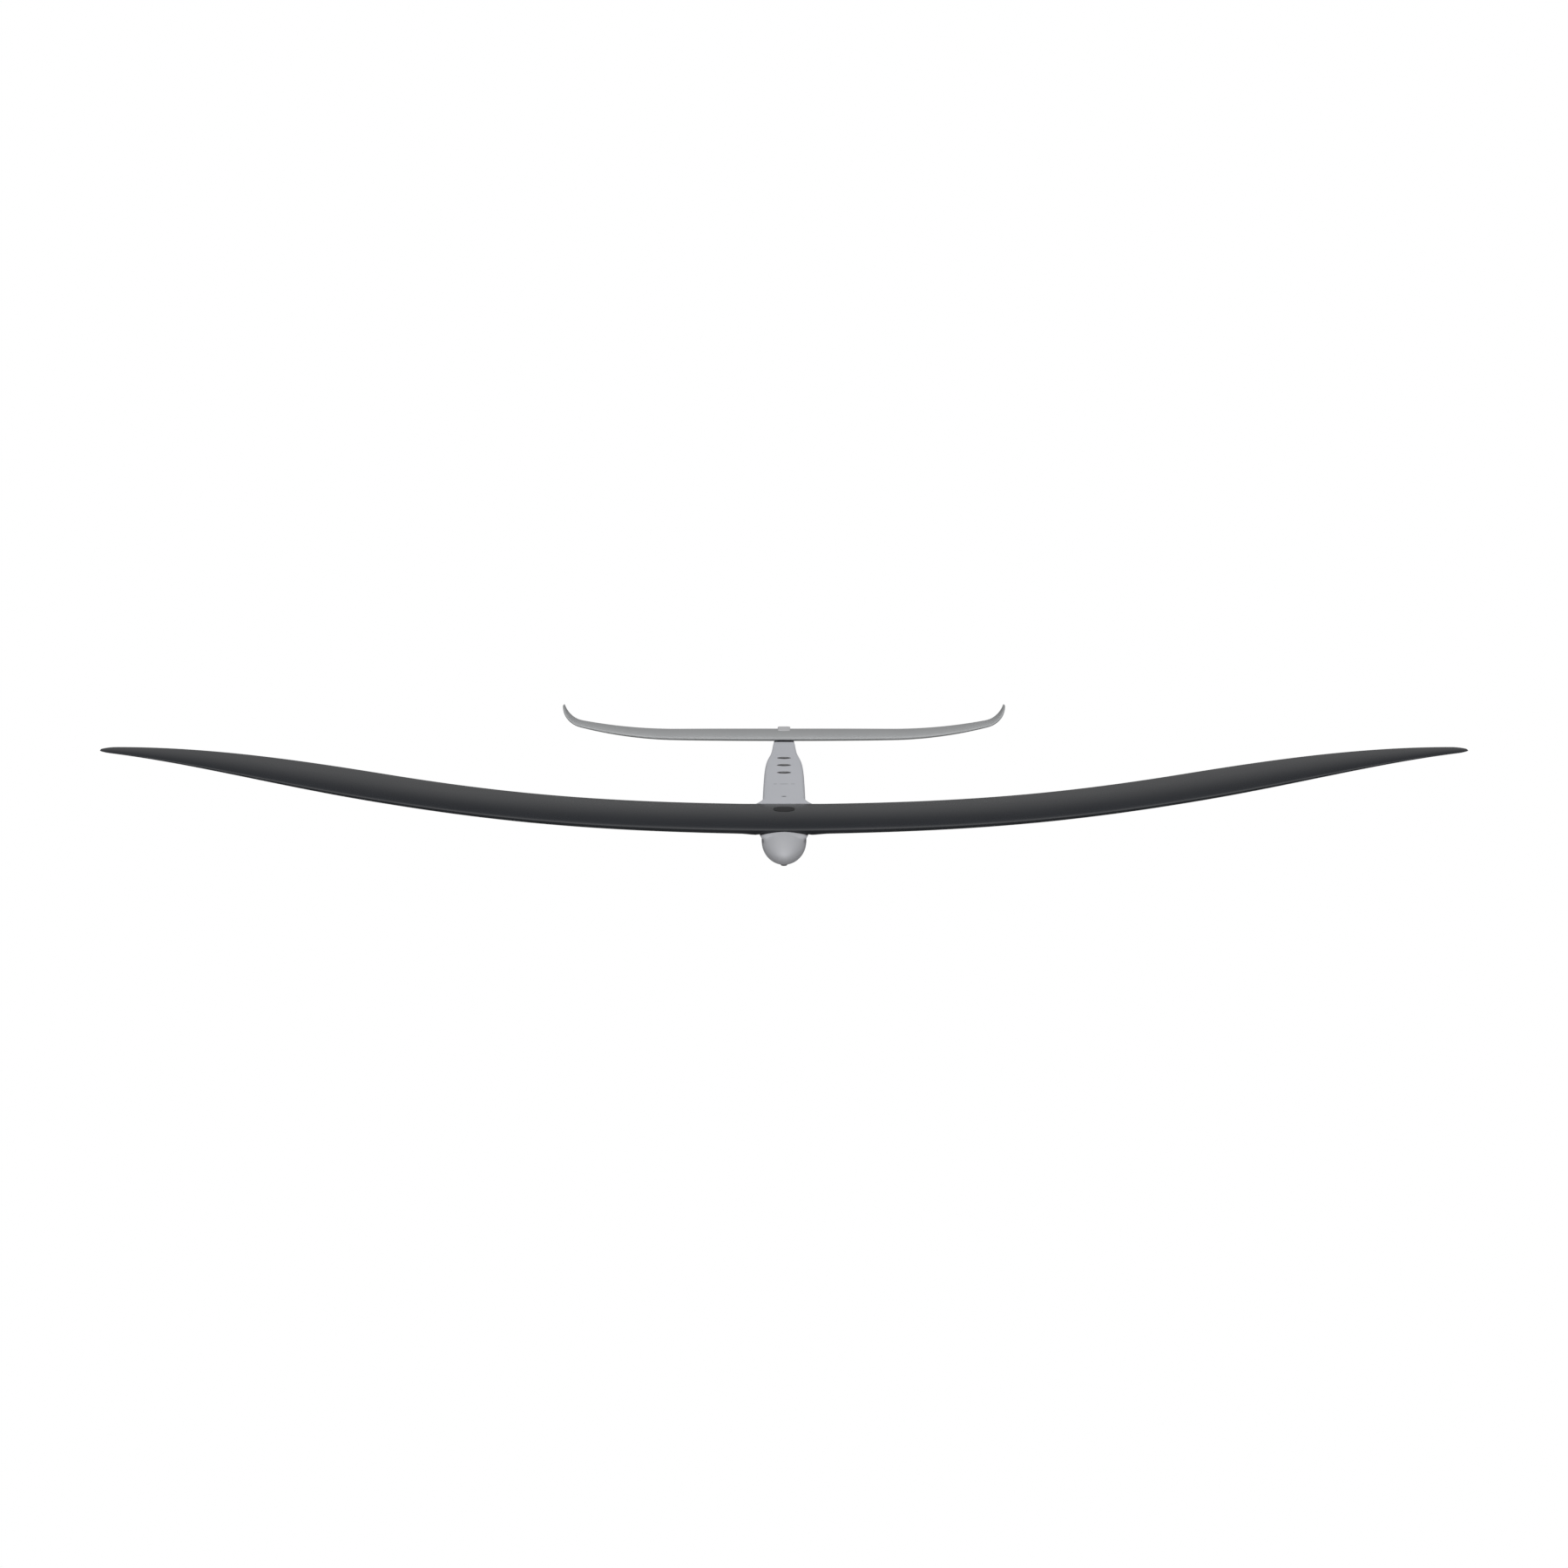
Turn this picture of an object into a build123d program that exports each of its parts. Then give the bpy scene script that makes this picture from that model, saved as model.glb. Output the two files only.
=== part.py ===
from build123d import *
from math import cos, pi, radians, sin, sqrt
import os

# Hydrofoil wing set: a long curved front wing, a slim fuselage with a blunt nose cone and
# a small rear stabilizer with turned-up tips. It bolts under a mast by three bolts.
# Millimetres. The origin is the middle mast bolt hole, on the deck: +X along the span,
# +Y towards the tail, +Z up to the mast.

os.makedirs("parts", exist_ok=True)

# ---- clearances -----------------------------------------------------------------------
seat_gap = 0.3            # between a piece that lifts off and what it sits on
thread_gap = 0.05         # bolt thread in its insert, on the radius
hole_gap = 0.4            # bolt in a plain hole, on the radius
head_gap = 0.5            # bolt head in its counterbore, on the radius
tall = 60.0               # longer than any part is high, for cuts that go right through

# ---- mast seat ------------------------------------------------------------------------
mast_pitch = 40.0
mast_bolt_radius = 4.0
mast_insert_radius = 6.0
mast_insert_length = 18.0

# ---- front wing -----------------------------------------------------------------------
span = 1100.0
half_span = span / 2
root_chord = 118.5
chord_loss = 0.174        # straight taper of the inner wing, over the half span
tip_chord_share = 0.712   # the outer wing's own chord law, a share of the root chord
tip_chord_power = 0.8
taper_start = 0.593       # where the outer law starts to take over, share of the half span
taper_full = 1.148
tip_rise = 47.6           # height of the tips over the root
straight_rise = 0.172     # share of that rise that is plain dihedral
rise_power = 1.442
tip_sweep = 61.0
sweep_power = 2.4
sweep_line = 0.35         # the chord share that is swept, lifted and twisted
tip_twist = 1.5           # degrees, nose down
root_thickness = 0.115    # share of the chord
tip_thickness = 0.085
camber = 0.015
camber_place = 0.4
edge_half = 0.35          # half the thickness of the blunt trailing edge
tip_round_start = 0.98    # where the tip's rounding starts, share of the half span
wing_end = 0.9985         # last station, share of the half span
wing_steps = 13           # stations on one side, crowded towards the tip
wing_points = 13          # points on one face of a section
bond_line = 0.03          # glue between the two skins
root_blend = 0.03         # rounds the dihedral's kink in the middle
root_skin = 1.5
skin_loss = 0.7           # how much thinner the skin is at the tip
mast_to_wing = 315.0      # from the middle mast bolt forward to the wing's leading edge
wing_drop = 1.0           # the wing's chord line, below the deck
core_front = 0.10         # foam core, shares of the chord
core_rear = 0.72
core_end = 0.86           # share of the half span
core_steps = 8            # stations of the core on one side
core_points = 9           # points on one face of the core's section
spar_front = 0.28
spar_rear = 0.42
root_block_half = 26.0

wing_bolt_pitch = 24.0
first_wing_bolt = 26.0    # behind the leading edge
wing_bolt_radius = 4.0
wing_insert_radius = 6.0
wing_insert_length = 7.0
insert_recess = 0.2
bolt_head_radius = 6.5
bolt_head_height = 8.0
hex_radius = 3.46         # across the corners of a 6 mm key, halved
bolt_chamfer = 0.6
bolt_end_gap = 0.5        # from a bolt's end to the top of its insert
hex_depth = 4.0
washer_radius = 6.8
washer_thickness = 1.2
sleeve_radius = 6.0

badge_width = 17.0
badge_length = 26.0
badge_place = 51.0        # its middle, behind the leading edge
badge_height = 0.25

# ---- fuselage -------------------------------------------------------------------------
body_half_width = 17.6
body_depth = 27.2         # from the deck to the belly
crown = 0.8               # how far the nose's top stands over the deck's plane
nose_half_width = 17.5
nose_length = 69.0        # half the length of the whole egg shape
nose_overhang = 43.0      # how far the nose reaches in front of the wing
nose_joint = 10.0         # joint between nose cone and fuselage, behind the wing's edge
nose_wall = 3.0
shell_wall = 2.5
deck_wall = 4.0
saddle_wall = 3.0
shoulder_half_width = 15.4
shoulder_place = 30.0
neck_half_width = 11.8
neck_place = 76.0
tail_half_width = 6.6
tail_depth = 13.0
tail_overhang = 3.0       # behind the stabilizer's trailing edge
flare_half_width = 23.0   # where the deck meets the wing's trailing edge
flare_length = 18.0
flare_depth = 3.0
flare_root = 1.0          # how far the flare's plate reaches into the side wall
flare_slant = 0.25        # direction of the flare's edge where it meets the wing
deck_top = crown / 2      # the upper curve's peak, before the deck is cut flat
round_exponent = 2.0      # squareness of a plain oval
middle_exponent = 4.0     # squareness of the upper half under the wing
deck_exponent = 9.0       # squareness of the upper half behind the wing
mast_front_loss = 0.4     # narrowing at the front mast bolt
mast_middle_loss = 1.0
mast_middle_lift = 0.3    # rise of the belly at the middle mast bolt
shoulder_lift = 1.2
neck_depth_share = 0.86   # depth at the neck, as a share of the full depth
tail_fullness = 0.6       # extra half width in front of the stabilizer
quarter_points = 9        # points on a quarter of a section
seat_points = 25          # points on the wing's seat

# ---- nose cone fastening --------------------------------------------------------------
spigot_width = 13.0
spigot_height = 8.0
spigot_reach = 33.0       # into the nose cone
spigot_root = 7.0         # into the fuselage
spigot_drop = 0.5         # its middle, under the nose cone's axis
nose_screw_place = 18.0   # in front of the wing's leading edge
nose_screw_radius = 2.0
nose_head_radius = 2.6
nose_head_height = 2.4
nose_head_proud = 0.6
nose_head_rounding = 0.8
nose_hex_radius = 1.44    # across the corners of a 2.5 mm key, halved
nose_hex_depth = 1.4
nose_screw_gap = 0.2      # round the screw and its head, on the radius
nose_screw_end_gap = 1.0
nose_boss_wall = 1.8
nose_insert_radius = 3.2
spigot_rounding = 1.5

# ---- stabilizer -----------------------------------------------------------------------
mast_to_stab = 133.7      # from the middle mast bolt back to the stabilizer's edge
stab_chord = 64.0
stab_tip_chord = 0.39     # share of the root chord
stab_chord_power = 2.6
stab_thickness = 0.105
stab_length = 216.0       # from the middle to the tip, along the blade
flat_length = 100.0       # the level middle, one side
rise_radius = 435.0
curl_start = 189.0        # along the blade
curl_radius = 20.6
stab_sweep = 8.0
stab_line = 2.5           # the blade's middle plane over the deck
stab_edge_half = 0.25
stab_round_start = 0.93
stab_end = 0.99
blade_steps = 11          # stations on one side, crowded towards the tip
blade_points = 12         # points on one face of a section
pad_half_width = 9.5
shim_thickness = 1.0
shim_half_width = 6.2
shim_length_loss = 6.0    # how much shorter it is than the stabilizer's chord
shim_rounding = 2.0
screw_floor = 4.0         # laminate between the shim and the screw heads
first_stab_screw = 18.0   # behind the stabilizer's leading edge
stab_screw_pitch = 22.0
stab_screw_radius = 3.0
stab_insert_radius = 4.5
stab_insert_length = 4.0
stab_head_radius = 5.0
stab_head_height = 5.0
stab_hex_radius = 2.31    # across the corners of a 4 mm key, halved
stab_hex_depth = 2.5
screw_chamfer = 0.5
screw_end_gap = 0.5
cap_half_width = 5.85
cap_length = 34.0
cap_front_height = 5.9    # over the deck
cap_rear_height = 4.7
cap_rear_gap = 0.5        # from the tail's end
cap_sink = 1.0            # how far its foot lies under the blade's middle plane
cap_rounding_share = 0.8  # of its half width

# ---- deck marks -----------------------------------------------------------------------
mark_place = -100.0
mark_depth = 0.4
mark_width = 1.4
mark_lengths = (3.0, 7.0, 3.0)
mark_step = 7.5
dot_place = -162.0
dot_radius = 2.0

# ---- worked out -----------------------------------------------------------------------
wing_front = -mast_to_wing
wing_rear = wing_front + root_chord
row_names = ("front", "middle", "rear")
wing_bolt_ys = [wing_front + first_wing_bolt + i * wing_bolt_pitch for i in range(3)]
mast_bolt_ys = [(i - 1) * mast_pitch for i in range(3)]
stab_rear = mast_to_stab + stab_chord
stab_screw_ys = [mast_to_stab + first_stab_screw + i * stab_screw_pitch for i in range(2)]
tail_end = stab_rear + tail_overhang
joint_y = wing_front + nose_joint
nose_middle = wing_front - nose_overhang + nose_length
nose_half_depth = (body_depth + crown) / 2
nose_axis_z = crown - nose_half_depth
head_seat = -body_depth + bolt_head_height + washer_thickness
stab_seat = -seat_gap - shim_thickness
stab_head_seat = stab_seat - screw_floor


def finish(piece, name):
    """Name a finished piece and write it out."""
    piece.label = name
    export_step(piece, "parts/" + name + ".step")


# ---- wing laws ------------------------------------------------------------------------
def smooth(t):
    t = min(max(t, 0.0), 1.0)
    return t * t * (3 - 2 * t)


def wing_chord(share):
    inner = 1 - chord_loss * share
    outer = tip_chord_share * max(1 - share, 0.0) ** tip_chord_power
    mix = smooth((share - taper_start) / (taper_full - taper_start))
    chord = root_chord * (inner * (1 - mix) + outer * mix)
    if share > tip_round_start:
        over = (share - tip_round_start) / (1 - tip_round_start)
        chord *= sqrt(1 - over ** 2)
    return chord


def wing_rise(share):
    swell = sin(pi / 2 * share ** rise_power) ** 2
    plain = sqrt(share ** 2 + root_blend ** 2) - root_blend
    return tip_rise * ((1 - straight_rise) * swell + straight_rise * plain)


def half_height(along, thickness):
    """The half thickness of the section, as a share of the chord."""
    curve = 0.2969 * sqrt(along) - 0.126 * along - 0.3516 * along ** 2
    return 5 * thickness * (curve + 0.2843 * along ** 3 - 0.1015 * along ** 4)


def mean_height(along):
    """The height of the section's middle line, as a share of the chord."""
    if along < camber_place:
        return camber / camber_place ** 2 * (2 * camber_place * along - along ** 2)
    rear = 1 - camber_place
    return camber / rear ** 2 * (1 - 2 * camber_place + 2 * camber_place * along - along ** 2)


def wing_point(share, along, side, inset=0.0):
    """A point of the section: side is 1 on top, -1 below, 0 on the middle line."""
    chord = wing_chord(share)
    thickness = root_thickness + (tip_thickness - root_thickness) * share
    skin = half_height(along, thickness) * chord + edge_half * along - inset
    height = mean_height(along) * chord + side * skin
    back = (along - sweep_line) * chord
    turn = radians(tip_twist * share)
    y = wing_front + sweep_line * root_chord + tip_sweep * share ** sweep_power
    z = wing_rise(share) - wing_drop
    return (y + back * cos(turn) - height * sin(turn), z + height * cos(turn) + back * sin(turn))


def spread(start, end, count):
    """Shares that crowd towards the start, where the section is roundest."""
    return [start + (end - start) * (1 - cos(pi / 2 * i / (count - 1))) for i in range(count)]


def wing_curve(share, side, inset=0.0, start=0.0, end=1.0, count=wing_points):
    return [wing_point(share, a, side, inset) for a in spread(start, end, count)]


wing_shares = [sin(pi / 2 * i / wing_steps) for i in range(wing_steps)] + [wing_end]
all_shares = [-s for s in reversed(wing_shares[1:])] + wing_shares


def skin_half(share, side):
    """Half of a wing section, between its middle line and its outer face."""
    lowered = min(side, 0) * bond_line
    with BuildSketch(Plane.YZ.offset(share * half_span)) as half:
        with BuildLine():
            outer = Spline(*[(y, z + lowered) for y, z in wing_curve(abs(share), side)])
            middle = Spline(*[(y, z + lowered) for y, z in wing_curve(abs(share), 0)])
            Line(outer @ 1, middle @ 1)
        make_face()
    return half.sketch


# ---- wing skins and core --------------------------------------------------------------
with BuildPart() as upper_half:
    for share in all_shares:
        add(skin_half(share, 1))
    loft()

with BuildPart() as lower_half:
    for share in all_shares:
        add(skin_half(share, -1))
    loft()

core_shares = [core_end * sin(pi / 2 * i / core_steps) for i in range(core_steps + 1)]
with BuildPart() as core:
    for share in [-s for s in reversed(core_shares[1:])] + core_shares:
        skin = root_skin - skin_loss * abs(share)
        with BuildSketch(Plane.YZ.offset(share * half_span)):
            with BuildLine():
                top = Spline(*wing_curve(abs(share), 1, skin, core_front, core_rear, core_points))
                low = Spline(*wing_curve(abs(share), -1, skin, core_front, core_rear, core_points))
                Line(top @ 0, low @ 0)
                Line(top @ 1, low @ 1)
            make_face()
    loft()

with BuildPart() as spar_slot:
    for share in core_shares:
        with BuildSketch(Plane.YZ.offset(share * half_span)):
            front_y, front_z = wing_point(share, spar_front, 0)
            rear_y, rear_z = wing_point(share, spar_rear, 0)
            reach = root_thickness * root_chord
            with BuildLine():
                Polyline((front_y, front_z - reach), (rear_y, rear_z - reach),
                         (rear_y, rear_z + reach), (front_y, front_z + reach), close=True)
            make_face()
    loft()

with BuildPart() as right_side:
    with BuildSketch(Plane.YZ.offset(root_block_half)):
        Rectangle(4 * root_chord + 2 * mast_to_wing, 4 * tall)
    extrude(amount=half_span)

right_core = core.part & right_side.part
right_foam = (right_core - spar_slot.part).solids().sort_by(Axis.Y)
for name, solid in (
    ("wing_front_core", right_foam[0]),
    ("wing_rear_core", right_foam[-1]),
    ("wing_spar", (right_core & spar_slot.part).solids().sort_by(SortBy.VOLUME)[-1]),
):
    with BuildPart() as half_piece:
        add(solid)
    finish(half_piece.part, name + "_right")
    with BuildPart() as other_half_piece:
        add(solid)
        mirror(about=Plane.YZ, mode=Mode.REPLACE)
    finish(other_half_piece.part, name + "_left")


def lower_face(y):
    """The height of the wing's lower face in the middle of the span."""
    along = (y - wing_front) / root_chord
    return wing_point(0, along, -1)[1]


with BuildPart() as wing_root_block:
    add(core.part)
    with BuildSketch(Plane.XY.offset(-tall)):
        with Locations((0, (wing_front + wing_rear) / 2)):
            Rectangle(2 * root_block_half, 2 * root_chord)
    extrude(amount=2 * tall, mode=Mode.INTERSECT)
    for y in wing_bolt_ys:
        with BuildSketch(Plane.XY.offset(lower_face(y) + insert_recess)):
            with Locations((0, y)):
                Circle(wing_insert_radius)
        extrude(amount=wing_insert_length, mode=Mode.SUBTRACT)
finish(wing_root_block.part, "wing_root_block")

with BuildPart() as wing_upper_skin:
    add(upper_half.part)
    add(core.part, mode=Mode.SUBTRACT)
finish(wing_upper_skin.part, "wing_upper_skin")

with BuildPart() as wing_lower_skin:
    add(lower_half.part)
    add(core.part, mode=Mode.SUBTRACT)
    with BuildSketch(Plane.XY.offset(-tall)):
        with Locations(*[(0, y) for y in wing_bolt_ys]):
            Circle(wing_insert_radius)
    extrude(amount=tall, mode=Mode.SUBTRACT)
finish(wing_lower_skin.part, "wing_lower_skin")

for name, y in zip(row_names, wing_bolt_ys):
    with BuildPart() as wing_insert:
        with BuildSketch(Plane.XY.offset(lower_face(y) + insert_recess)):
            with Locations((0, y)):
                Circle(wing_insert_radius)
                Circle(wing_bolt_radius + thread_gap, mode=Mode.SUBTRACT)
        extrude(amount=wing_insert_length)
    finish(wing_insert.part, "wing_insert_" + name)

with BuildPart() as wing_badge:
    with BuildSketch(Plane.XY):
        with Locations((0, wing_front + badge_place)):
            Ellipse(badge_width / 2, badge_length / 2)
    extrude(amount=tall)
    add(upper_half.part.moved(Location((0, 0, badge_height))), mode=Mode.INTERSECT)
    add(upper_half.part, mode=Mode.SUBTRACT)
finish(wing_badge.part, "wing_badge")


# ---- fuselage body --------------------------------------------------------------------
def egg_section(y, half_width, top, bottom, upper_exponent, wall=0.0):
    """A rounded section across the fuselage, squarer above when the exponent grows."""
    half_width -= wall
    middle = (top + bottom) / 2
    half_depth = (top - bottom) / 2 - wall

    def quarter(side, rise, exponent):
        points = []
        for i in range(quarter_points):
            angle = pi / 2 * i / (quarter_points - 1)
            across = 0.0 if i == quarter_points - 1 else cos(angle) ** (2 / exponent)
            points.append((side * half_width * across,
                           middle + rise * half_depth * sin(angle) ** (2 / exponent)))
        return Spline(*points, tangents=((0, rise), (-side, 0)))

    with BuildSketch(Plane.XZ.offset(-y)) as section:
        with BuildLine():
            for side in (1, -1):
                quarter(side, 1, upper_exponent)
                quarter(side, -1, round_exponent)
        make_face()
    return section.sketch


nose_share = sqrt(1 - ((joint_y - nose_middle) / nose_length) ** 2)
joint_half_depth = nose_half_depth * nose_share
joint_top = nose_axis_z + joint_half_depth
joint_bottom = nose_axis_z - joint_half_depth
neck_depth = body_depth * neck_depth_share
before_tail = (neck_half_width + tail_half_width) / 2 + tail_fullness
body_stations = [
    (joint_y, nose_half_width * nose_share, joint_top, joint_bottom, round_exponent),
    (nose_middle, nose_half_width, crown, -body_depth, round_exponent),
    ((nose_middle + wing_rear) / 2, body_half_width, deck_top, -body_depth, middle_exponent),
    (wing_rear - flare_length, body_half_width, deck_top, -body_depth, deck_exponent),
    ((wing_rear - mast_pitch) / 2, body_half_width, deck_top, -body_depth, deck_exponent),
    (-mast_pitch, body_half_width - mast_front_loss, deck_top, -body_depth, deck_exponent),
    (0, body_half_width - mast_middle_loss, deck_top, -body_depth + mast_middle_lift,
     deck_exponent),
    (shoulder_place, shoulder_half_width, deck_top, -body_depth + shoulder_lift, deck_exponent),
    (neck_place, neck_half_width, deck_top, -neck_depth, deck_exponent),
    (mast_to_stab, before_tail, deck_top, -(neck_depth + tail_depth) / 2, deck_exponent),
    (tail_end, tail_half_width, deck_top, -tail_depth, deck_exponent),
]

with BuildPart() as body:
    for station in body_stations:
        add(egg_section(*station))
    loft()

with BuildPart() as body_hollow:
    for station in body_stations[:-1]:
        add(egg_section(*station, wall=shell_wall))
    loft()

with BuildPart() as above_hollow:
    with BuildSketch(Plane.XY.offset(-deck_wall)):
        with Locations((0, (joint_y + tail_end) / 2)):
            Rectangle(4 * body_half_width, 2 * (tail_end - joint_y))
    extrude(amount=tall)


def wing_seat(gap):
    """All that lies over the wing's lower face in the middle, for cutting the seat."""
    shares = spread(0.0, 1.0, seat_points)
    below = []
    for i in range(len(shares) - 1):
        y, z = wing_point(0, shares[i], -1)
        next_y, next_z = wing_point(0, shares[i + 1], -1)
        length = sqrt((next_y - y) ** 2 + (next_z - z) ** 2)
        down = (0.0, 1.0) if i == 0 else ((next_y - y) / length, (z - next_z) / length)
        below.append((y - down[1] * gap, z - down[0] * gap - bond_line))
    with BuildPart() as cutter:
        with BuildSketch(Plane.YZ.offset(-2 * body_half_width)):
            with BuildLine():
                end = (wing_rear + seat_gap, below[-1][1])
                seat = Spline(*below[::2], end)
                Polyline(seat @ 1, (end[0], tall), (below[0][0], tall), seat @ 0)
            make_face()
        extrude(amount=4 * body_half_width)
    return cutter.part


wing_room = wing_seat(seat_gap)
core_room = wing_seat(seat_gap + saddle_wall)

with BuildPart() as fuselage_core:
    add(body_hollow.part)
    add(above_hollow.part, mode=Mode.SUBTRACT)
    add(core_room, mode=Mode.SUBTRACT)
core_blank = fuselage_core.part

with BuildPart() as fuselage_shell:
    add(body.part)
    with BuildSketch(Plane.XY.offset(-flare_depth)):
        for side in (1, -1):
            with BuildLine():
                edge = body_half_width - flare_root
                tip = (side * flare_half_width, wing_rear)
                foot = (side * body_half_width, wing_rear + flare_length)
                curve = Spline(tip, foot, tangents=((-side, flare_slant), (0, 1)))
                Polyline(curve @ 1, (side * edge, wing_rear + flare_length),
                         (side * edge, wing_rear - flare_length),
                         (side * flare_half_width, wing_rear - flare_length), curve @ 0)
            make_face()
    extrude(amount=flare_depth + deck_top)
    # the flat deck
    with BuildSketch(Plane.XY):
        with Locations((0, (joint_y + tail_end) / 2)):
            Rectangle(4 * body_half_width, 2 * (tail_end - joint_y))
    extrude(amount=tall, mode=Mode.SUBTRACT)
    add(wing_room, mode=Mode.SUBTRACT)
    add(core_blank, mode=Mode.SUBTRACT)
    # the shim's pocket under the stabilizer
    with BuildSketch(Plane.XY.offset(-seat_gap - shim_thickness)):
        with Locations((0, (mast_to_stab + tail_end) / 2)):
            Rectangle(4 * body_half_width, tail_end - mast_to_stab)
    extrude(amount=tall, mode=Mode.SUBTRACT)


def bored(piece, holes):
    """A piece with upright holes: each is (y, radius, bottom, top)."""
    with BuildPart() as result:
        add(piece)
        for y, radius, bottom, top in holes:
            with BuildSketch(Plane.XY.offset(bottom)):
                with Locations((0, y)):
                    Circle(radius)
            extrude(amount=top - bottom, mode=Mode.SUBTRACT)
    return result.part


fastener_holes = [(y, mast_insert_radius, -mast_insert_length, tall) for y in mast_bolt_ys]
for y in wing_bolt_ys:
    fastener_holes.append((y, sleeve_radius, head_seat, tall))
    fastener_holes.append((y, bolt_head_radius + head_gap, -tall, head_seat))
for y in stab_screw_ys:
    fastener_holes.append((y, stab_screw_radius + hole_gap, stab_head_seat, tall))
    fastener_holes.append((y, stab_head_radius + head_gap, -tall, stab_head_seat))

spigot_z = nose_axis_z - spigot_drop - spigot_height / 2


def spigot_box(extra=0.0):
    with BuildPart() as box:
        with BuildSketch(Plane.XY.offset(spigot_z - extra)):
            with Locations((0, joint_y + (spigot_root - spigot_reach) / 2)):
                Rectangle(spigot_width + 2 * extra, spigot_root + spigot_reach)
        extrude(amount=spigot_height + 2 * extra)
    return box.part


def marks(bottom, height):
    with BuildPart() as inlay:
        with BuildSketch(Plane.XY.offset(bottom)):
            for i, length in enumerate(mark_lengths):
                with Locations(((i - 1) * mark_step, mark_place)):
                    Rectangle(length, mark_width)
            with Locations((0, dot_place)):
                Circle(dot_radius)
        extrude(amount=height)
    return inlay.part


with BuildPart() as shell_with_pockets:
    add(bored(fuselage_shell.part, fastener_holes))
    add(spigot_box(), mode=Mode.SUBTRACT)
    add(marks(-mark_depth, tall), mode=Mode.SUBTRACT)
finish(shell_with_pockets.part, "fuselage_shell")

with BuildPart() as core_with_pockets:
    add(bored(core_blank, fastener_holes))
    add(spigot_box(), mode=Mode.SUBTRACT)
finish(core_with_pockets.part, "fuselage_core")

finish(marks(-mark_depth, mark_depth), "deck_marks")

for name, y in zip(row_names, mast_bolt_ys):
    with BuildPart() as mast_insert:
        with BuildSketch(Plane.XY.offset(-mast_insert_length)):
            with Locations((0, y)):
                Circle(mast_insert_radius)
                Circle(mast_bolt_radius, mode=Mode.SUBTRACT)
        extrude(amount=mast_insert_length)
    finish(mast_insert.part, "mast_insert_" + name)

# ---- wing bolts, their washers and sleeves --------------------------------------------
for name, y in zip(row_names, wing_bolt_ys):
    insert_top = lower_face(y) + insert_recess + wing_insert_length
    with BuildPart() as wing_bolt_sleeve:
        with BuildSketch(Plane.XY.offset(head_seat)):
            with Locations((0, y)):
                Circle(sleeve_radius)
                Circle(wing_bolt_radius + hole_gap, mode=Mode.SUBTRACT)
        extrude(amount=lower_face(y) - head_seat - seat_gap - insert_recess)
    finish(wing_bolt_sleeve.part, "wing_bolt_sleeve_" + name)
    with BuildPart() as wing_bolt_washer:
        with BuildSketch(Plane.XY.offset(head_seat - washer_thickness)):
            with Locations((0, y)):
                Circle(washer_radius)
                Circle(wing_bolt_radius + thread_gap, mode=Mode.SUBTRACT)
        extrude(amount=washer_thickness - thread_gap)
    finish(wing_bolt_washer.part, "wing_bolt_washer_" + name)
    with BuildPart() as wing_bolt:
        head_bottom = head_seat - washer_thickness - bolt_head_height
        with BuildSketch(Plane.XY.offset(head_bottom)):
            with Locations((0, y)):
                Circle(bolt_head_radius)
        extrude(amount=bolt_head_height)
        chamfer(wing_bolt.edges().filter_by(GeomType.CIRCLE).sort_by(Axis.Z)[0], bolt_chamfer)
        with BuildSketch(Plane.XY.offset(head_bottom)):
            with Locations((0, y)):
                RegularPolygon(hex_radius, 6)
        extrude(amount=hex_depth, mode=Mode.SUBTRACT)
        with BuildSketch(Plane.XY.offset(head_bottom + bolt_head_height)):
            with Locations((0, y)):
                Circle(wing_bolt_radius)
        extrude(amount=insert_top - bolt_end_gap - head_bottom - bolt_head_height)
        chamfer(wing_bolt.edges().filter_by(GeomType.CIRCLE).sort_by(Axis.Z)[-1], bolt_chamfer)
    finish(wing_bolt.part, "wing_bolt_" + name)


# ---- nose cone ------------------------------------------------------------------------
def nose_egg(wall):
    """The nose's egg shape, less a wall, in front of the joint with the fuselage."""
    with BuildPart() as egg:
        with BuildSketch(Plane.XY) as outline:
            with BuildLine():
                ThreePointArc((0, -1), (sin(pi / 4), -cos(pi / 4)), (1, 0))
                Polyline((1, 0), (0, 0), (0, -1))
            make_face()
        revolve(axis=Axis.Y)
    sizes = (nose_half_width - wall, nose_length - wall, nose_half_depth - wall)
    return scale(egg.part, by=sizes).moved(Location((0, nose_middle, nose_axis_z)))


with BuildPart() as nose_half_space:
    with BuildSketch(Plane.XZ.offset(-joint_y)):
        with Locations((0, nose_axis_z)):
            Rectangle(2 * tall, 2 * tall)
    extrude(amount=2 * nose_length)

with BuildPart() as nose_cone:
    add(nose_egg(0.0))
    add(nose_half_space.part, mode=Mode.INTERSECT)
    add(wing_room, mode=Mode.SUBTRACT)
nose_blank = nose_cone.part

with BuildPart() as nose_room:
    add(nose_egg(nose_wall))
    add(nose_half_space.part, mode=Mode.INTERSECT)
    add(core_room.moved(Location((0, -saddle_wall, 0))), mode=Mode.SUBTRACT)

nose_screw_y = wing_front - nose_screw_place
nose_reach = (nose_screw_y - nose_middle) / nose_length
chin = nose_axis_z - nose_half_depth * sqrt(1 - nose_reach ** 2)
nose_head_bottom = chin - nose_head_proud
nose_head_top = nose_head_bottom + nose_head_height

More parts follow.
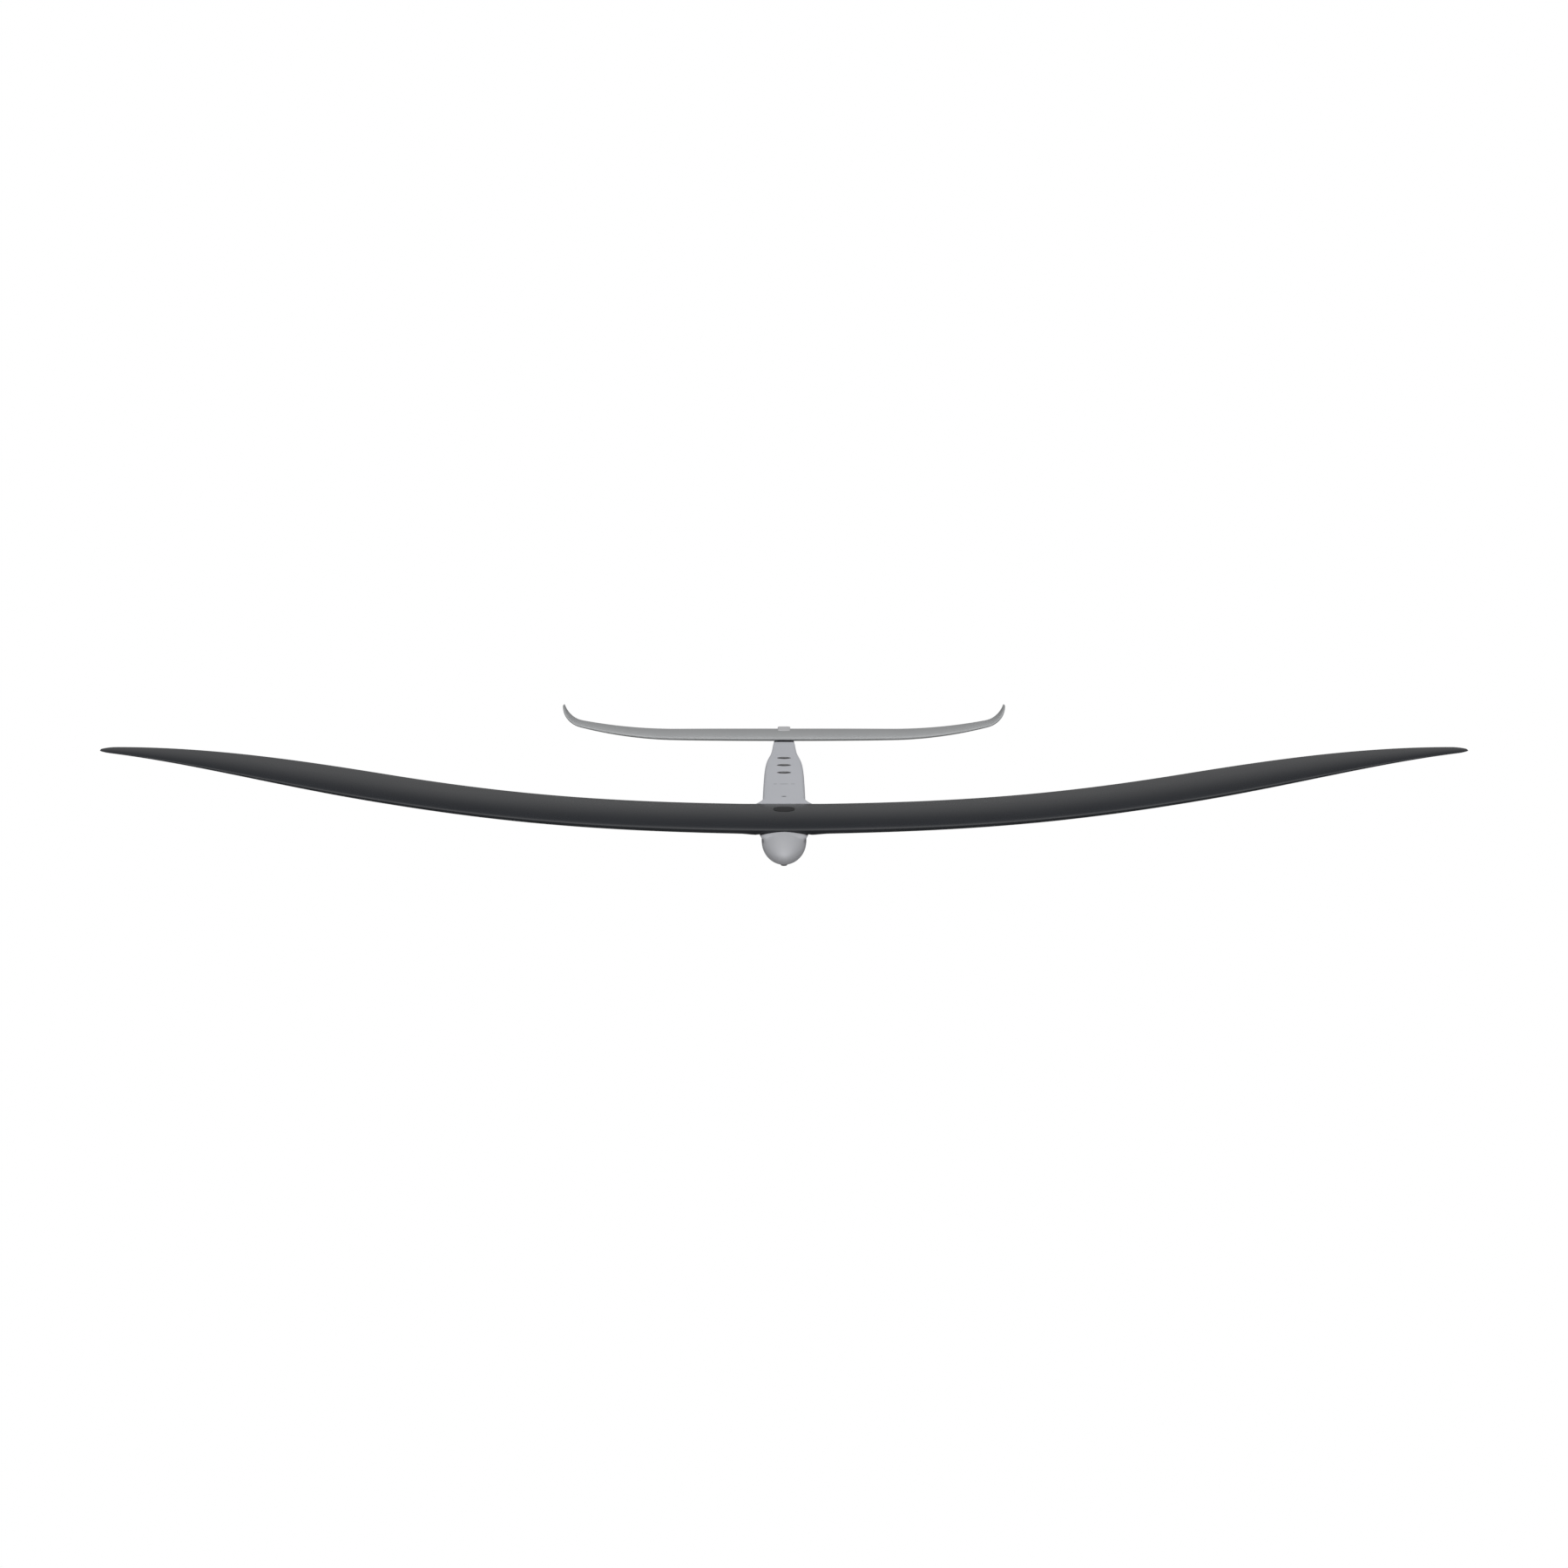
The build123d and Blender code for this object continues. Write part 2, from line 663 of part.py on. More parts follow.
with BuildPart() as hollow_nose:
    add(nose_blank)
    add(nose_room.part, mode=Mode.SUBTRACT)
    with BuildSketch(Plane.XY.offset(nose_head_top)):
        with Locations((0, nose_screw_y)):
            Circle(nose_head_radius + nose_boss_wall)
    extrude(amount=spigot_z - nose_head_top)
    with BuildSketch(Plane.XY.offset(-tall)):
        with Locations((0, nose_screw_y)):
            Circle(nose_head_radius + nose_screw_gap)
    extrude(amount=tall + nose_head_top, mode=Mode.SUBTRACT)
    with BuildSketch(Plane.XY.offset(-tall)):
        with Locations((0, nose_screw_y)):
            Circle(nose_screw_radius + nose_screw_gap)
    extrude(amount=2 * tall + nose_axis_z, mode=Mode.SUBTRACT)
finish(hollow_nose.part, "nose_cone")

with BuildPart() as nose_spigot:
    add(spigot_box())
    fillet(nose_spigot.edges().filter_by(Axis.Y), spigot_rounding)
    with BuildSketch(Plane.XY.offset(spigot_z)):
        with Locations((0, nose_screw_y)):
            Circle(nose_insert_radius)
    extrude(amount=spigot_height, mode=Mode.SUBTRACT)
finish(nose_spigot.part, "nose_spigot")

with BuildPart() as nose_insert:
    with BuildSketch(Plane.XY.offset(spigot_z)):
        with Locations((0, nose_screw_y)):
            Circle(nose_insert_radius)
            Circle(nose_screw_radius, mode=Mode.SUBTRACT)
    extrude(amount=spigot_height)
finish(nose_insert.part, "nose_insert")

with BuildPart() as nose_screw:
    with BuildSketch(Plane.XY.offset(nose_head_bottom)):
        with Locations((0, nose_screw_y)):
            Circle(nose_head_radius)
    extrude(amount=nose_head_height)
    fillet(nose_screw.edges().filter_by(GeomType.CIRCLE).sort_by(Axis.Z)[0], nose_head_rounding)
    with BuildSketch(Plane.XY.offset(nose_head_bottom)):
        with Locations((0, nose_screw_y)):
            RegularPolygon(nose_hex_radius, 6)
    extrude(amount=nose_hex_depth, mode=Mode.SUBTRACT)
    with BuildSketch(Plane.XY.offset(nose_head_top)):
        with Locations((0, nose_screw_y)):
            Circle(nose_screw_radius)
    extrude(amount=spigot_z + spigot_height - nose_screw_end_gap - nose_head_top)
finish(nose_screw.part, "nose_screw")


# ---- stabilizer -----------------------------------------------------------------------
def blade_place(along):
    """Where the blade's middle line is, and its slope, at a length from the middle."""
    x, z, slope = min(along, flat_length), 0.0, 0.0
    if along > flat_length:
        slope = (min(along, curl_start) - flat_length) / rise_radius
        x += rise_radius * sin(slope)
        z += rise_radius * (1 - cos(slope))
    if along > curl_start:
        turn = (along - curl_start) / curl_radius
        x += curl_radius * (sin(slope + turn) - sin(slope))
        z += curl_radius * (cos(slope) - cos(slope + turn))
        slope += turn
    return x, z, slope


def blade_section(along, side):
    x, z, slope = blade_place(along)
    share = along / stab_length
    chord = stab_chord * (1 - (1 - stab_tip_chord) * share ** stab_chord_power)
    if share > stab_round_start:
        over = (share - stab_round_start) / (1 - stab_round_start)
        chord *= sqrt(1 - over ** 2)
    middle = mast_to_stab + stab_chord / 2 + stab_sweep * share ** 2
    plane = Plane(origin=(side * x, middle, stab_line + z), x_dir=(0, 1, 0),
                  z_dir=(cos(slope), 0, side * sin(slope)))
    with BuildSketch(plane) as section:
        with BuildLine():
            curves = []
            for face in (1, -1):
                points = []
                for a in spread(0.0, 1.0, blade_points):
                    height = half_height(a, stab_thickness) * chord + stab_edge_half * a
                    points.append(((a - 0.5) * chord, face * height))
                curves.append(Spline(*points))
            Line(curves[0] @ 1, curves[1] @ 1)
        make_face()
    return section.sketch


blade_shares = [sin(pi / 2 * i / blade_steps) for i in range(blade_steps + 1)]
blade_lengths = [stab_length * stab_end * share for share in blade_shares]

with BuildPart() as blade:
    for along in reversed(blade_lengths[1:]):
        add(blade_section(along, -1))
    for along in blade_lengths:
        add(blade_section(along, 1))
    loft()

with BuildPart() as stabilizer_blade:
    add(blade.part)
    # the flat pad that rests on the shim
    with BuildSketch(Plane.XY.offset(-tall)):
        with Locations((0, (mast_to_stab + stab_rear) / 2)):
            Rectangle(2 * pad_half_width, 2 * stab_chord)
    extrude(amount=tall, mode=Mode.SUBTRACT)
    with BuildSketch(Plane.XY):
        with Locations(*[(0, y) for y in stab_screw_ys]):
            Circle(stab_insert_radius)
    extrude(amount=stab_insert_length, mode=Mode.SUBTRACT)
finish(stabilizer_blade.part, "stabilizer_blade")

for name, y in zip(("front", "rear"), stab_screw_ys):
    with BuildPart() as stabilizer_insert:
        with BuildSketch(Plane.XY):
            with Locations((0, y)):
                Circle(stab_insert_radius)
                Circle(stab_screw_radius + thread_gap, mode=Mode.SUBTRACT)
        extrude(amount=stab_insert_length)
    finish(stabilizer_insert.part, "stabilizer_insert_" + name)
    with BuildPart() as stabilizer_screw:
        head_bottom = stab_head_seat - stab_head_height
        with BuildSketch(Plane.XY.offset(head_bottom)):
            with Locations((0, y)):
                Circle(stab_head_radius)
        extrude(amount=stab_head_height - thread_gap)
        chamfer(stabilizer_screw.edges().filter_by(GeomType.CIRCLE).sort_by(Axis.Z)[0], screw_chamfer)
        with BuildSketch(Plane.XY.offset(head_bottom)):
            with Locations((0, y)):
                RegularPolygon(stab_hex_radius, 6)
        extrude(amount=stab_hex_depth, mode=Mode.SUBTRACT)
        with BuildSketch(Plane.XY.offset(stab_head_seat - thread_gap)):
            with Locations((0, y)):
                Circle(stab_screw_radius)
        extrude(amount=stab_insert_length - screw_end_gap - stab_head_seat)
    finish(stabilizer_screw.part, "stabilizer_screw_" + name)

with BuildPart() as stabilizer_shim:
    with BuildSketch(Plane.XY.offset(stab_seat)):
        with Locations((0, (mast_to_stab + stab_rear) / 2)):
            RectangleRounded(2 * shim_half_width, stab_chord - shim_length_loss, shim_rounding)
        with Locations(*[(0, y) for y in stab_screw_ys]):
            Circle(stab_screw_radius + hole_gap, mode=Mode.SUBTRACT)
    extrude(amount=shim_thickness)
finish(stabilizer_shim.part, "stabilizer_shim")

with BuildPart() as tail_cap:
    cap_rear = tail_end - cap_rear_gap
    cap_front = cap_rear - cap_length
    cap_bottom = stab_line - cap_sink
    with BuildSketch(Plane.YZ.offset(-cap_half_width)):
        with BuildLine():
            Polyline((cap_front, cap_bottom), (cap_rear, cap_bottom),
                     (cap_rear, cap_rear_height), (cap_front, cap_front_height), close=True)
        make_face()
    extrude(amount=2 * cap_half_width)
    fillet(tail_cap.edges().filter_by(Axis.Z), cap_half_width * cap_rounding_share)
    add(blade.part, mode=Mode.SUBTRACT)
upper_cap = tail_cap.part.solids().sort_by(Axis.Z)[-1]
finish(Part() + upper_cap, "tail_cap")
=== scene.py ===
from math import atan2, cos, exp, hypot, log1p, pi, radians, sin, sqrt

import bmesh
import bpy
from mathutils import Matrix, Vector


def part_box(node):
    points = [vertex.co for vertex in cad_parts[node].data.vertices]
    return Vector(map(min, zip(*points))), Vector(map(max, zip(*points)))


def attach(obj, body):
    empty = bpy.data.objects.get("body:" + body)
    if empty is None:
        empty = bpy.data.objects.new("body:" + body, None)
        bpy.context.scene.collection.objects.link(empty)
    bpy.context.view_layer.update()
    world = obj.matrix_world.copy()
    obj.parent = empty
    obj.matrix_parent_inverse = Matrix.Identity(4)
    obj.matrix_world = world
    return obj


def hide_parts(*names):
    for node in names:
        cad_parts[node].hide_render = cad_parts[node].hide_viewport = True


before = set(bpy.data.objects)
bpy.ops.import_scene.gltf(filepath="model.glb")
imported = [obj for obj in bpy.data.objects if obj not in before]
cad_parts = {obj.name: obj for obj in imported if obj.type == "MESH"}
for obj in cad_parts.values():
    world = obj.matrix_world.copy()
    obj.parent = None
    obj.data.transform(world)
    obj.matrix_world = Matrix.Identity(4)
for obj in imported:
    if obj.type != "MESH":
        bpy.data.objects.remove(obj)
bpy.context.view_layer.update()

# The meshes are built in millimetres, as the part was drawn, and mesh_piece scales them to metres.
MM = 0.001


def corners(node):
    """Lowest and highest corner of a CAD node, in millimetres."""
    low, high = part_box(node)
    return low / MM, high / MM


def middle(node):
    """Middle of a CAD node's box, in millimetres."""
    low, high = corners(node)
    return (low + high) / 2


# ---- camera ---------------------------------------------------------------------------
camera_distance = 2.6335
camera_height = 0.4239
camera_dip = 9.5          # degrees below level

camera = bpy.data.cameras.new("camera")
camera.lens = 70.0
camera.sensor_width = 36.0
camera.clip_end = 50.0
camera_object = bpy.data.objects.new("camera", camera)
camera_object.location = (0.0, -camera_distance, camera_height)
camera_object.rotation_euler = (radians(90.0 - camera_dip), 0.0, 0.0)
bpy.context.scene.collection.objects.link(camera_object)
bpy.context.scene.camera = camera_object


# ---- shader kit -----------------------------------------------------------------------
class Value:
    """A number in a shader. Plain Python operators on it add Math nodes."""

    def __init__(self, finish, socket):
        self.finish = finish
        self.socket = socket

    def _with(self, operation, first, second):
        node = self.finish.node("ShaderNodeMath", {"operation": operation}, {0: first, 1: second})
        return Value(self.finish, node.outputs[0])

    def __add__(self, other):
        return self._with("ADD", self, other)

    def __rsub__(self, other):
        return self._with("SUBTRACT", other, self)

    def __mul__(self, other):
        return self._with("MULTIPLY", self, other)

    def maximum(self, other):
        return self._with("MAXIMUM", self, other)

    __radd__ = __add__
    __rmul__ = __mul__


class Shader:
    """A node tree and the ways to add to it."""

    def __init__(self, tree):
        self.tree = tree

    def node(self, kind, settings=None, inputs=None):
        """Any node: its settings first, then the values or links of its sockets."""
        made = self.tree.nodes.new(kind)
        for key, value in (settings or {}).items():
            if key == "stops":
                ramp = made.color_ramp
                while len(ramp.elements) < len(value):
                    ramp.elements.new(1.0)
                for element, (place, shade) in zip(ramp.elements, value):
                    element.position = place
                    element.color = (*shade, 1.0) if isinstance(shade, tuple) else (shade,) * 3 + (1.0,)
            else:
                setattr(made, key, value)
        for key, value in (inputs or {}).items():
            self.feed(made.inputs[key], value)
        return made

    def feed(self, socket, value):
        if isinstance(value, Value):
            value = value.socket
        if isinstance(value, bpy.types.NodeSocket):
            self.tree.links.new(value, socket)
        else:
            socket.default_value = value

    def place(self, scale=(1.0, 1.0, 1.0)):
        """Object coordinates in metres, scaled for a pattern."""
        source = self.node("ShaderNodeTexCoord").outputs["Object"]
        return self.node("ShaderNodeMapping", None, {"Vector": source, "Scale": scale}).outputs[0]

    def noise(self, vector, scale, detail=3.0, roughness=0.5):
        made = self.node("ShaderNodeTexNoise", None, {
            "Vector": vector, "Scale": scale, "Detail": detail, "Roughness": roughness,
        })
        return Value(self, made.outputs[0])

    def wave(self, vector, scale, distortion=0.0, direction="X"):
        made = self.node("ShaderNodeTexWave", {"bands_direction": direction}, {
            "Vector": vector, "Scale": scale, "Distortion": distortion,
        })
        return Value(self, made.outputs["Fac"])

    def axes(self, vector):
        made = self.node("ShaderNodeSeparateXYZ", None, {0: vector})
        return [Value(self, made.outputs[i]) for i in range(3)]

    def ramp(self, factor, *stops):
        made = self.node("ShaderNodeValToRGB", {"stops": stops}, {0: factor})
        return made.outputs[0]

    def mix(self, factor, first, second):
        made = self.node("ShaderNodeMix", {"data_type": "RGBA"}, {
            0: factor, 6: first if isinstance(first, bpy.types.NodeSocket) else (*first, 1.0),
            7: second if isinstance(second, bpy.types.NodeSocket) else (*second, 1.0),
        })
        return made.outputs[2]


class Finish(Shader):
    """A material around one Principled shader."""

    def __init__(self, name, **sockets):
        self.material = bpy.data.materials.new(name)
        self.material.use_nodes = True
        super().__init__(self.material.node_tree)
        self.surface = self.tree.nodes["Principled BSDF"]
        for socket, value in sockets.items():
            self.surface.inputs[socket.replace("_", " ")].default_value = value

    def colour(self, link):
        self.feed(self.surface.inputs["Base Color"], link)

    def roughness(self, link):
        self.feed(self.surface.inputs["Roughness"], link)

    def bump(self, height, depth):
        """Surface relief: the height runs from 0 to 1 and the depth is in metres."""
        made = self.node("ShaderNodeBump", None, {"Height": height, "Distance": depth, "Strength": 1.0})
        self.feed(self.surface.inputs["Normal"], made.outputs[0])


# ---- finishes -------------------------------------------------------------------------
def carbon_skin(name, dark, light, rough):
    """Satin moulded carbon: fibres that run along the span, under a thin clear coat."""
    made = Finish(name, Specular_IOR_Level=0.5)
    fibres = made.noise(made.place((14.0, 900.0, 900.0)), 1.0, 2.0)
    clouds = made.noise(made.place((7.0, 18.0, 18.0)), 1.0, 3.0)
    blend = 0.55 * clouds + 0.45 * fibres
    made.colour(made.mix(blend, dark, light))
    made.roughness(rough - 0.05 + 0.1 * clouds)
    made.bump(fibres, 0.00001)
    return made.material


def moulded_grey(name, dark, light, rough, coat=0.15):
    """Pale moulded laminate with a fine orange peel and faint clouds."""
    made = Finish(name, Coat_Weight=coat, Coat_Roughness=0.2, Specular_IOR_Level=0.4)
    clouds = made.noise(made.place((25.0, 9.0, 25.0)), 1.0, 4.0, 0.55)
    peel = made.noise(made.place(), 900.0, 2.0)
    made.colour(made.mix(0.8 * clouds + 0.2 * peel, dark, light))
    made.roughness(rough - 0.04 + 0.08 * clouds)
    made.bump(peel, 0.000012)
    return made.material


def turned_steel(name, shade, rough=0.28, painted_shade_heights=None):
    """Machined metal with rings from the tool, and painted shade that darkens a bore between two heights.
    """
    made = Finish(name, Metallic=1.0)
    wear = made.noise(made.place((160.0, 160.0, 160.0)), 1.0, 4.0)
    rings = made.noise(made.place((60.0, 60.0, 5200.0)), 1.0, 2.0)
    metal = made.mix(wear, tuple(0.82 * c for c in shade), shade)
    if painted_shade_heights:
        # painted shade: between the two heights the metal is mixed towards a dark grey, as shade inside
        # the bore
        height = made.axes(made.place())[2]
        depth = made.node("ShaderNodeMapRange", None, {
            "Value": height, "From Min": painted_shade_heights[0], "From Max": painted_shade_heights[1],
        }).outputs[0]
        metal = made.mix(depth, (0.12, 0.12, 0.125), metal)
    made.colour(metal)
    made.roughness(rough - 0.06 + 0.14 * wear)
    made.bump(rings, 0.000006)
    return made.material


def foam(name, dark, light):
    """Closed-cell foam with the cells showing."""
    made = Finish(name, Specular_IOR_Level=0.2)
    cells = made.node("ShaderNodeTexVoronoi", {"feature": "F1"}, {
        "Vector": made.place(), "Scale": 900.0,
    })
    depth = Value(made, cells.outputs["Distance"])
    made.colour(made.mix(depth, light, dark))
    made.roughness(0.85 + 0.1 * depth)
    made.bump(1.0 - depth, 0.0001)
    return made.material


def laminate_block(name, dark, light):
    """Pressed glass and resin: thin layers that show on its edges."""
    made = Finish(name, Specular_IOR_Level=0.45)
    layers = made.wave(made.place(), 420.0, 0.6, "Z")
    grain = made.noise(made.place((240.0, 240.0, 240.0)), 1.0, 3.0)
    made.colour(made.mix(0.6 * layers + 0.4 * grain, dark, light))
    made.roughness(0.5 + 0.12 * grain)
    made.bump(layers, 0.00002)
    return made.material


def moulded_plastic(name, shade, rough):
    """Plain moulded plastic with a light spark-eroded texture."""
    made = Finish(name)
    texture = made.noise(made.place(), 2200.0, 2.0)
    clouds = made.noise(made.place(), 60.0, 3.0)
    made.colour(made.mix(clouds, tuple(0.8 * c for c in shade), tuple(1.2 * c for c in shade)))
    made.roughness(rough - 0.05 + 0.1 * texture)
    made.bump(texture, 0.000015)
    return made.material


WING_CARBON = carbon_skin("wing_carbon", (0.0135, 0.0145, 0.017), (0.0195, 0.021, 0.024), 0.27)
SPAR_CARBON = carbon_skin("spar_carbon", (0.02, 0.02, 0.022), (0.04, 0.04, 0.043), 0.5)
FUSELAGE_GREY = moulded_grey("fuselage_grey", (0.355, 0.363, 0.388), (0.39, 0.398, 0.425), 0.42)
NOSE_GREY = moulded_grey("nose_grey", (0.295, 0.298, 0.314), (0.325, 0.328, 0.344), 0.55, coat=0.0)
STABILIZER_GREY = moulded_grey("stabilizer_grey", (0.248, 0.254, 0.258), (0.272, 0.278, 0.282), 0.36)
CAP_GREY = moulded_grey("cap_grey", (0.39, 0.39, 0.40), (0.43, 0.43, 0.44), 0.38)
STAINLESS = turned_steel("stainless_steel", (0.62, 0.62, 0.63))
# insert steel, with painted shade darkening its bore between these two heights
INSERT_STEEL = turned_steel("insert_steel", (0.46, 0.46, 0.47), 0.38, (-0.0035, -0.0006))
INSERT_BRASS = turned_steel("insert_brass", (0.72, 0.53, 0.27), 0.3)
SPIGOT_METAL = turned_steel("spigot_metal", (0.7, 0.71, 0.72), 0.35)
WING_FOAM = foam("wing_foam", (0.62, 0.55, 0.38), (0.80, 0.74, 0.56))
FUSELAGE_FILLER = foam("fuselage_filler", (0.34, 0.32, 0.28), (0.50, 0.48, 0.43))
ROOT_LAMINATE = laminate_block("root_laminate", (0.06, 0.075, 0.05), (0.12, 0.14, 0.09))
SHIM_BLACK = moulded_plastic("shim_black", (0.02, 0.02, 0.021), 0.5)
BADGE_BLACK = moulded_plastic("badge_black", (0.008, 0.008, 0.009), 0.5)
MARK_GREY = moulded_plastic("mark_grey", (0.06, 0.063, 0.07), 0.5)


# ---- mesh kit -------------------------------------------------------------------------
SHARP_CORNER = radians(35.0)


def mesh_piece(name, bm, finish, body, nodes):
    """A finished piece: metres, smooth faces with sharp corners, riding on its body."""
    bmesh.ops.recalc_face_normals(bm, faces=bm.faces)
    bmesh.ops.scale(bm, vec=(MM, MM, MM), verts=bm.verts)
    for face in bm.faces:
        face.smooth = True
    for edge in bm.edges:
        edge.smooth = edge.is_manifold and edge.calc_face_angle(0.0) < SHARP_CORNER
    mesh = bpy.data.meshes.new(name)
    bm.to_mesh(mesh)
    bm.free()
    mesh.materials.append(finish)
    made = bpy.data.objects.new(name, mesh)
    bpy.context.scene.collection.objects.link(made)
    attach(made, body)
    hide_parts(*nodes)


def ring_shell(rings):
    """A closed skin: the first ring of points is extruded from ring to ring and capped."""
    bm = bmesh.new()
    verts = [bm.verts.new(point) for point in rings[0]]
    edges = [bm.edges.new(pair) for pair in zip(verts, verts[1:] + verts[:1])]
    bmesh.ops.contextual_create(bm, geom=edges)
    for ring in rings[1:]:
        made = bmesh.ops.extrude_edge_only(bm, edges=edges)["geom"]
        fresh = {part for part in made if isinstance(part, bmesh.types.BMVert)}
        grown = []
        for vert in verts:
            side = next(e for e in vert.link_edges if e.other_vert(vert) in fresh)
            grown.append(side.other_vert(vert))
        for vert, point in zip(grown, ring):
            vert.co = point
        edges = [part for part in made if isinstance(part, bmesh.types.BMEdge)
                 and all(v in fresh for v in part.verts)]
        verts = grown
    bmesh.ops.contextual_create(bm, geom=edges)
    return bm


def rod(bm, centre, radius, bottom, top, sides=48):
    """An upright cylinder."""
    height = top - bottom
    place = Matrix.Translation((centre[0], centre[1], bottom + height / 2))
    return bmesh.ops.create_cone(bm, cap_ends=True, segments=sides, radius1=radius,
                                 radius2=radius, depth=height, matrix=place)["verts"]


def block(bm, low, high):
    """A box between two corners."""
    size = Vector(high) - Vector(low)
    place = Matrix.Translation((Vector(low) + Vector(high)) / 2) @ Matrix.Diagonal((*size, 1.0))
    return bmesh.ops.create_cube(bm, size=1.0, matrix=place)["verts"]


def lathe(bm, profile, centre, steps=96):
    """A lathe-turned shape: the profile is (radius, height) pairs round an upright axis."""
    verts = [bm.verts.new((centre[0] + radius, centre[1], height)) for radius, height in profile]
    edges = [bm.edges.new(pair) for pair in zip(verts, verts[1:])]
    if profile[0][0] or profile[-1][0]:
        edges.append(bm.edges.new((verts[-1], verts[0])))
    before = set(bm.verts) - set(verts)
    bmesh.ops.spin(bm, geom=verts + edges, cent=(centre[0], centre[1], 0.0), axis=(0.0, 0.0, 1.0),
                   angle=2 * pi, steps=steps, use_merge=True)
    made = [vert for vert in bm.verts if vert not in before]
    bmesh.ops.remove_doubles(bm, verts=made, dist=0.0005)
    return bm


def turned(profile, centre, steps=96):
    """A lathe-turned shape in a mesh of its own."""
    return lathe(bmesh.new(), profile, centre, steps)


def temporary(bm):
    """An object for a cut only."""
    bmesh.ops.recalc_face_normals(bm, faces=bm.faces)
    mesh = bpy.data.meshes.new("cutter")
    bm.to_mesh(mesh)
    bm.free()
    made = bpy.data.objects.new("cutter", mesh)
    bpy.context.scene.collection.objects.link(made)
    return made


def cut(bm, *cutters):
    """A mesh less its cutters, one after the other, as a fresh bmesh."""
    whole = temporary(bm)
    for cutter in cutters:
        tool = temporary(cutter)
        step = whole.modifiers.new("cut", "BOOLEAN")
        step.operation = "DIFFERENCE"
        step.solver = "EXACT"
        step.object = tool
        evaluated = whole.evaluated_get(bpy.context.evaluated_depsgraph_get())
        done = bpy.data.meshes.new_from_object(evaluated)
        whole.modifiers.clear()
        whole.data = done
        bpy.data.objects.remove(tool)
    result = bmesh.new()
    result.from_mesh(whole.data)
    bpy.data.objects.remove(whole)
    bmesh.ops.remove_doubles(result, verts=result.verts, dist=0.0005)
    return result


# ---- front wing -----------------------------------------------------------------------
half_span = 550.0
root_chord = 118.5
chord_loss = 0.174
tip_chord_share = 0.712
tip_chord_power = 0.8
taper_start = 0.593
taper_full = 1.148
tip_rise = 47.6
straight_rise = 0.172
rise_power = 1.442
tip_sweep = 61.0
sweep_power = 2.4
sweep_line = 0.35
tip_twist = 1.5
root_thickness = 0.115
tip_thickness = 0.085
camber = 0.015
camber_place = 0.4
edge_half = 0.35
tip_round_start = 0.98
wing_end = 0.9985
root_blend = 0.03
root_skin = 1.5
skin_loss = 0.7
wing_drop = 1.0
wing_front = corners("wing_upper_skin")[0].y
wing_rear = wing_front + root_chord
saddle_half = 19.0        # half the width of the raised middle that meets the deck
saddle_fade = 15.0
saddle_lift = 0.15
belly_fillet = 0.7        # the lower face swells a little beside the fuselage
fillet_start = 17.9
fillet_rise = 3.0
fillet_top = 21.0
fillet_fade = 14.0


def smooth(t):
    """A step from 0 to 1 with soft ends."""
    t = min(max(t, 0.0), 1.0)
    return t * t * (3 - 2 * t)


def wing_chord(share):
    """Chord at a share of the half span: a straight taper that runs into a rounded one."""
    inner = 1 - chord_loss * share
    outer = tip_chord_share * max(1 - share, 0.0) ** tip_chord_power
    mix = smooth((share - taper_start) / (taper_full - taper_start))
    chord = root_chord * (inner * (1 - mix) + outer * mix)
    if share > tip_round_start:
        over = (share - tip_round_start) / (1 - tip_round_start)
        chord *= sqrt(1 - over ** 2)
    return chord


def wing_rise(share):
    """How far the wing curves up at a share of the half span."""
    swell = sin(pi / 2 * share ** rise_power) ** 2
    plain = sqrt(share ** 2 + root_blend ** 2) - root_blend
    return tip_rise * ((1 - straight_rise) * swell + straight_rise * plain)


def half_height(along, thickness):
    """Half the thickness of the classic four-digit section, for a chord of 1."""
    curve = 0.2969 * sqrt(along) - 0.126 * along - 0.3516 * along ** 2
    return 5 * thickness * (curve + 0.2843 * along ** 3 - 0.1015 * along ** 4)


def mean_height(along):
    """Camber line of the same section, for a chord of 1."""
    if along < camber_place:
        return camber / camber_place ** 2 * (2 * camber_place * along - along ** 2)
    rear = 1 - camber_place
    return camber / rear ** 2 * (1 - 2 * camber_place + 2 * camber_place * along - along ** 2)


def root_shape(x, along, side):
    """The raised middle on top, and the fillet beside the fuselage below."""
    if side > 0:
        across = 1 - smooth((abs(x) - saddle_half) / saddle_fade)
        return saddle_lift * across * smooth((along - 0.3) / 0.5)
    across = smooth((abs(x) - fillet_start) / fillet_rise)
    across *= 1 - smooth((abs(x) - fillet_top) / fillet_fade)
    return -belly_fillet * across * smooth(along / 0.02) * (1 - smooth((along - 0.1) / 0.5))


def wing_point(share, along, side, inset=0.0):
    """A point on the wing's upper (1) or lower (-1) face, or under it by an inset."""
    x = share * half_span
    share = abs(share)
    chord = wing_chord(share)
    thickness = root_thickness + (tip_thickness - root_thickness) * share
    skin = half_height(along, thickness) * chord + edge_half * along
    height = mean_height(along) * chord + side * max(skin - inset, 0.0)
    if side and not inset:
        height += root_shape(x, along, side)
    back = (along - sweep_line) * chord
    turn = radians(tip_twist * share)
    y = wing_front + sweep_line * root_chord + tip_sweep * share ** sweep_power
    z = wing_rise(share) - wing_drop
    return (x, y + back * cos(turn) - height * sin(turn), z + height * cos(turn) + back * sin(turn))


root_step = 0.005
root_reach = 0.07
outer_steps = 60


def wing_stations():
    """Shares of the half span, closer together at the root's raised middle and at the tips."""
    inner = [i * root_step for i in range(15)]
    outer = [root_reach + (wing_end - root_reach) * sin(pi / 2 * i / outer_steps)
             for i in range(1, outer_steps + 1)]
    half = inner + outer
    return [-share for share in reversed(half[1:])] + half


chord_steps = 44
chord_crowding = 1.15     # the higher, the closer the places are at the leading edge
chord_places = [1 - cos(pi / 2 * (i / chord_steps) ** chord_crowding) for i in range(chord_steps + 1)]


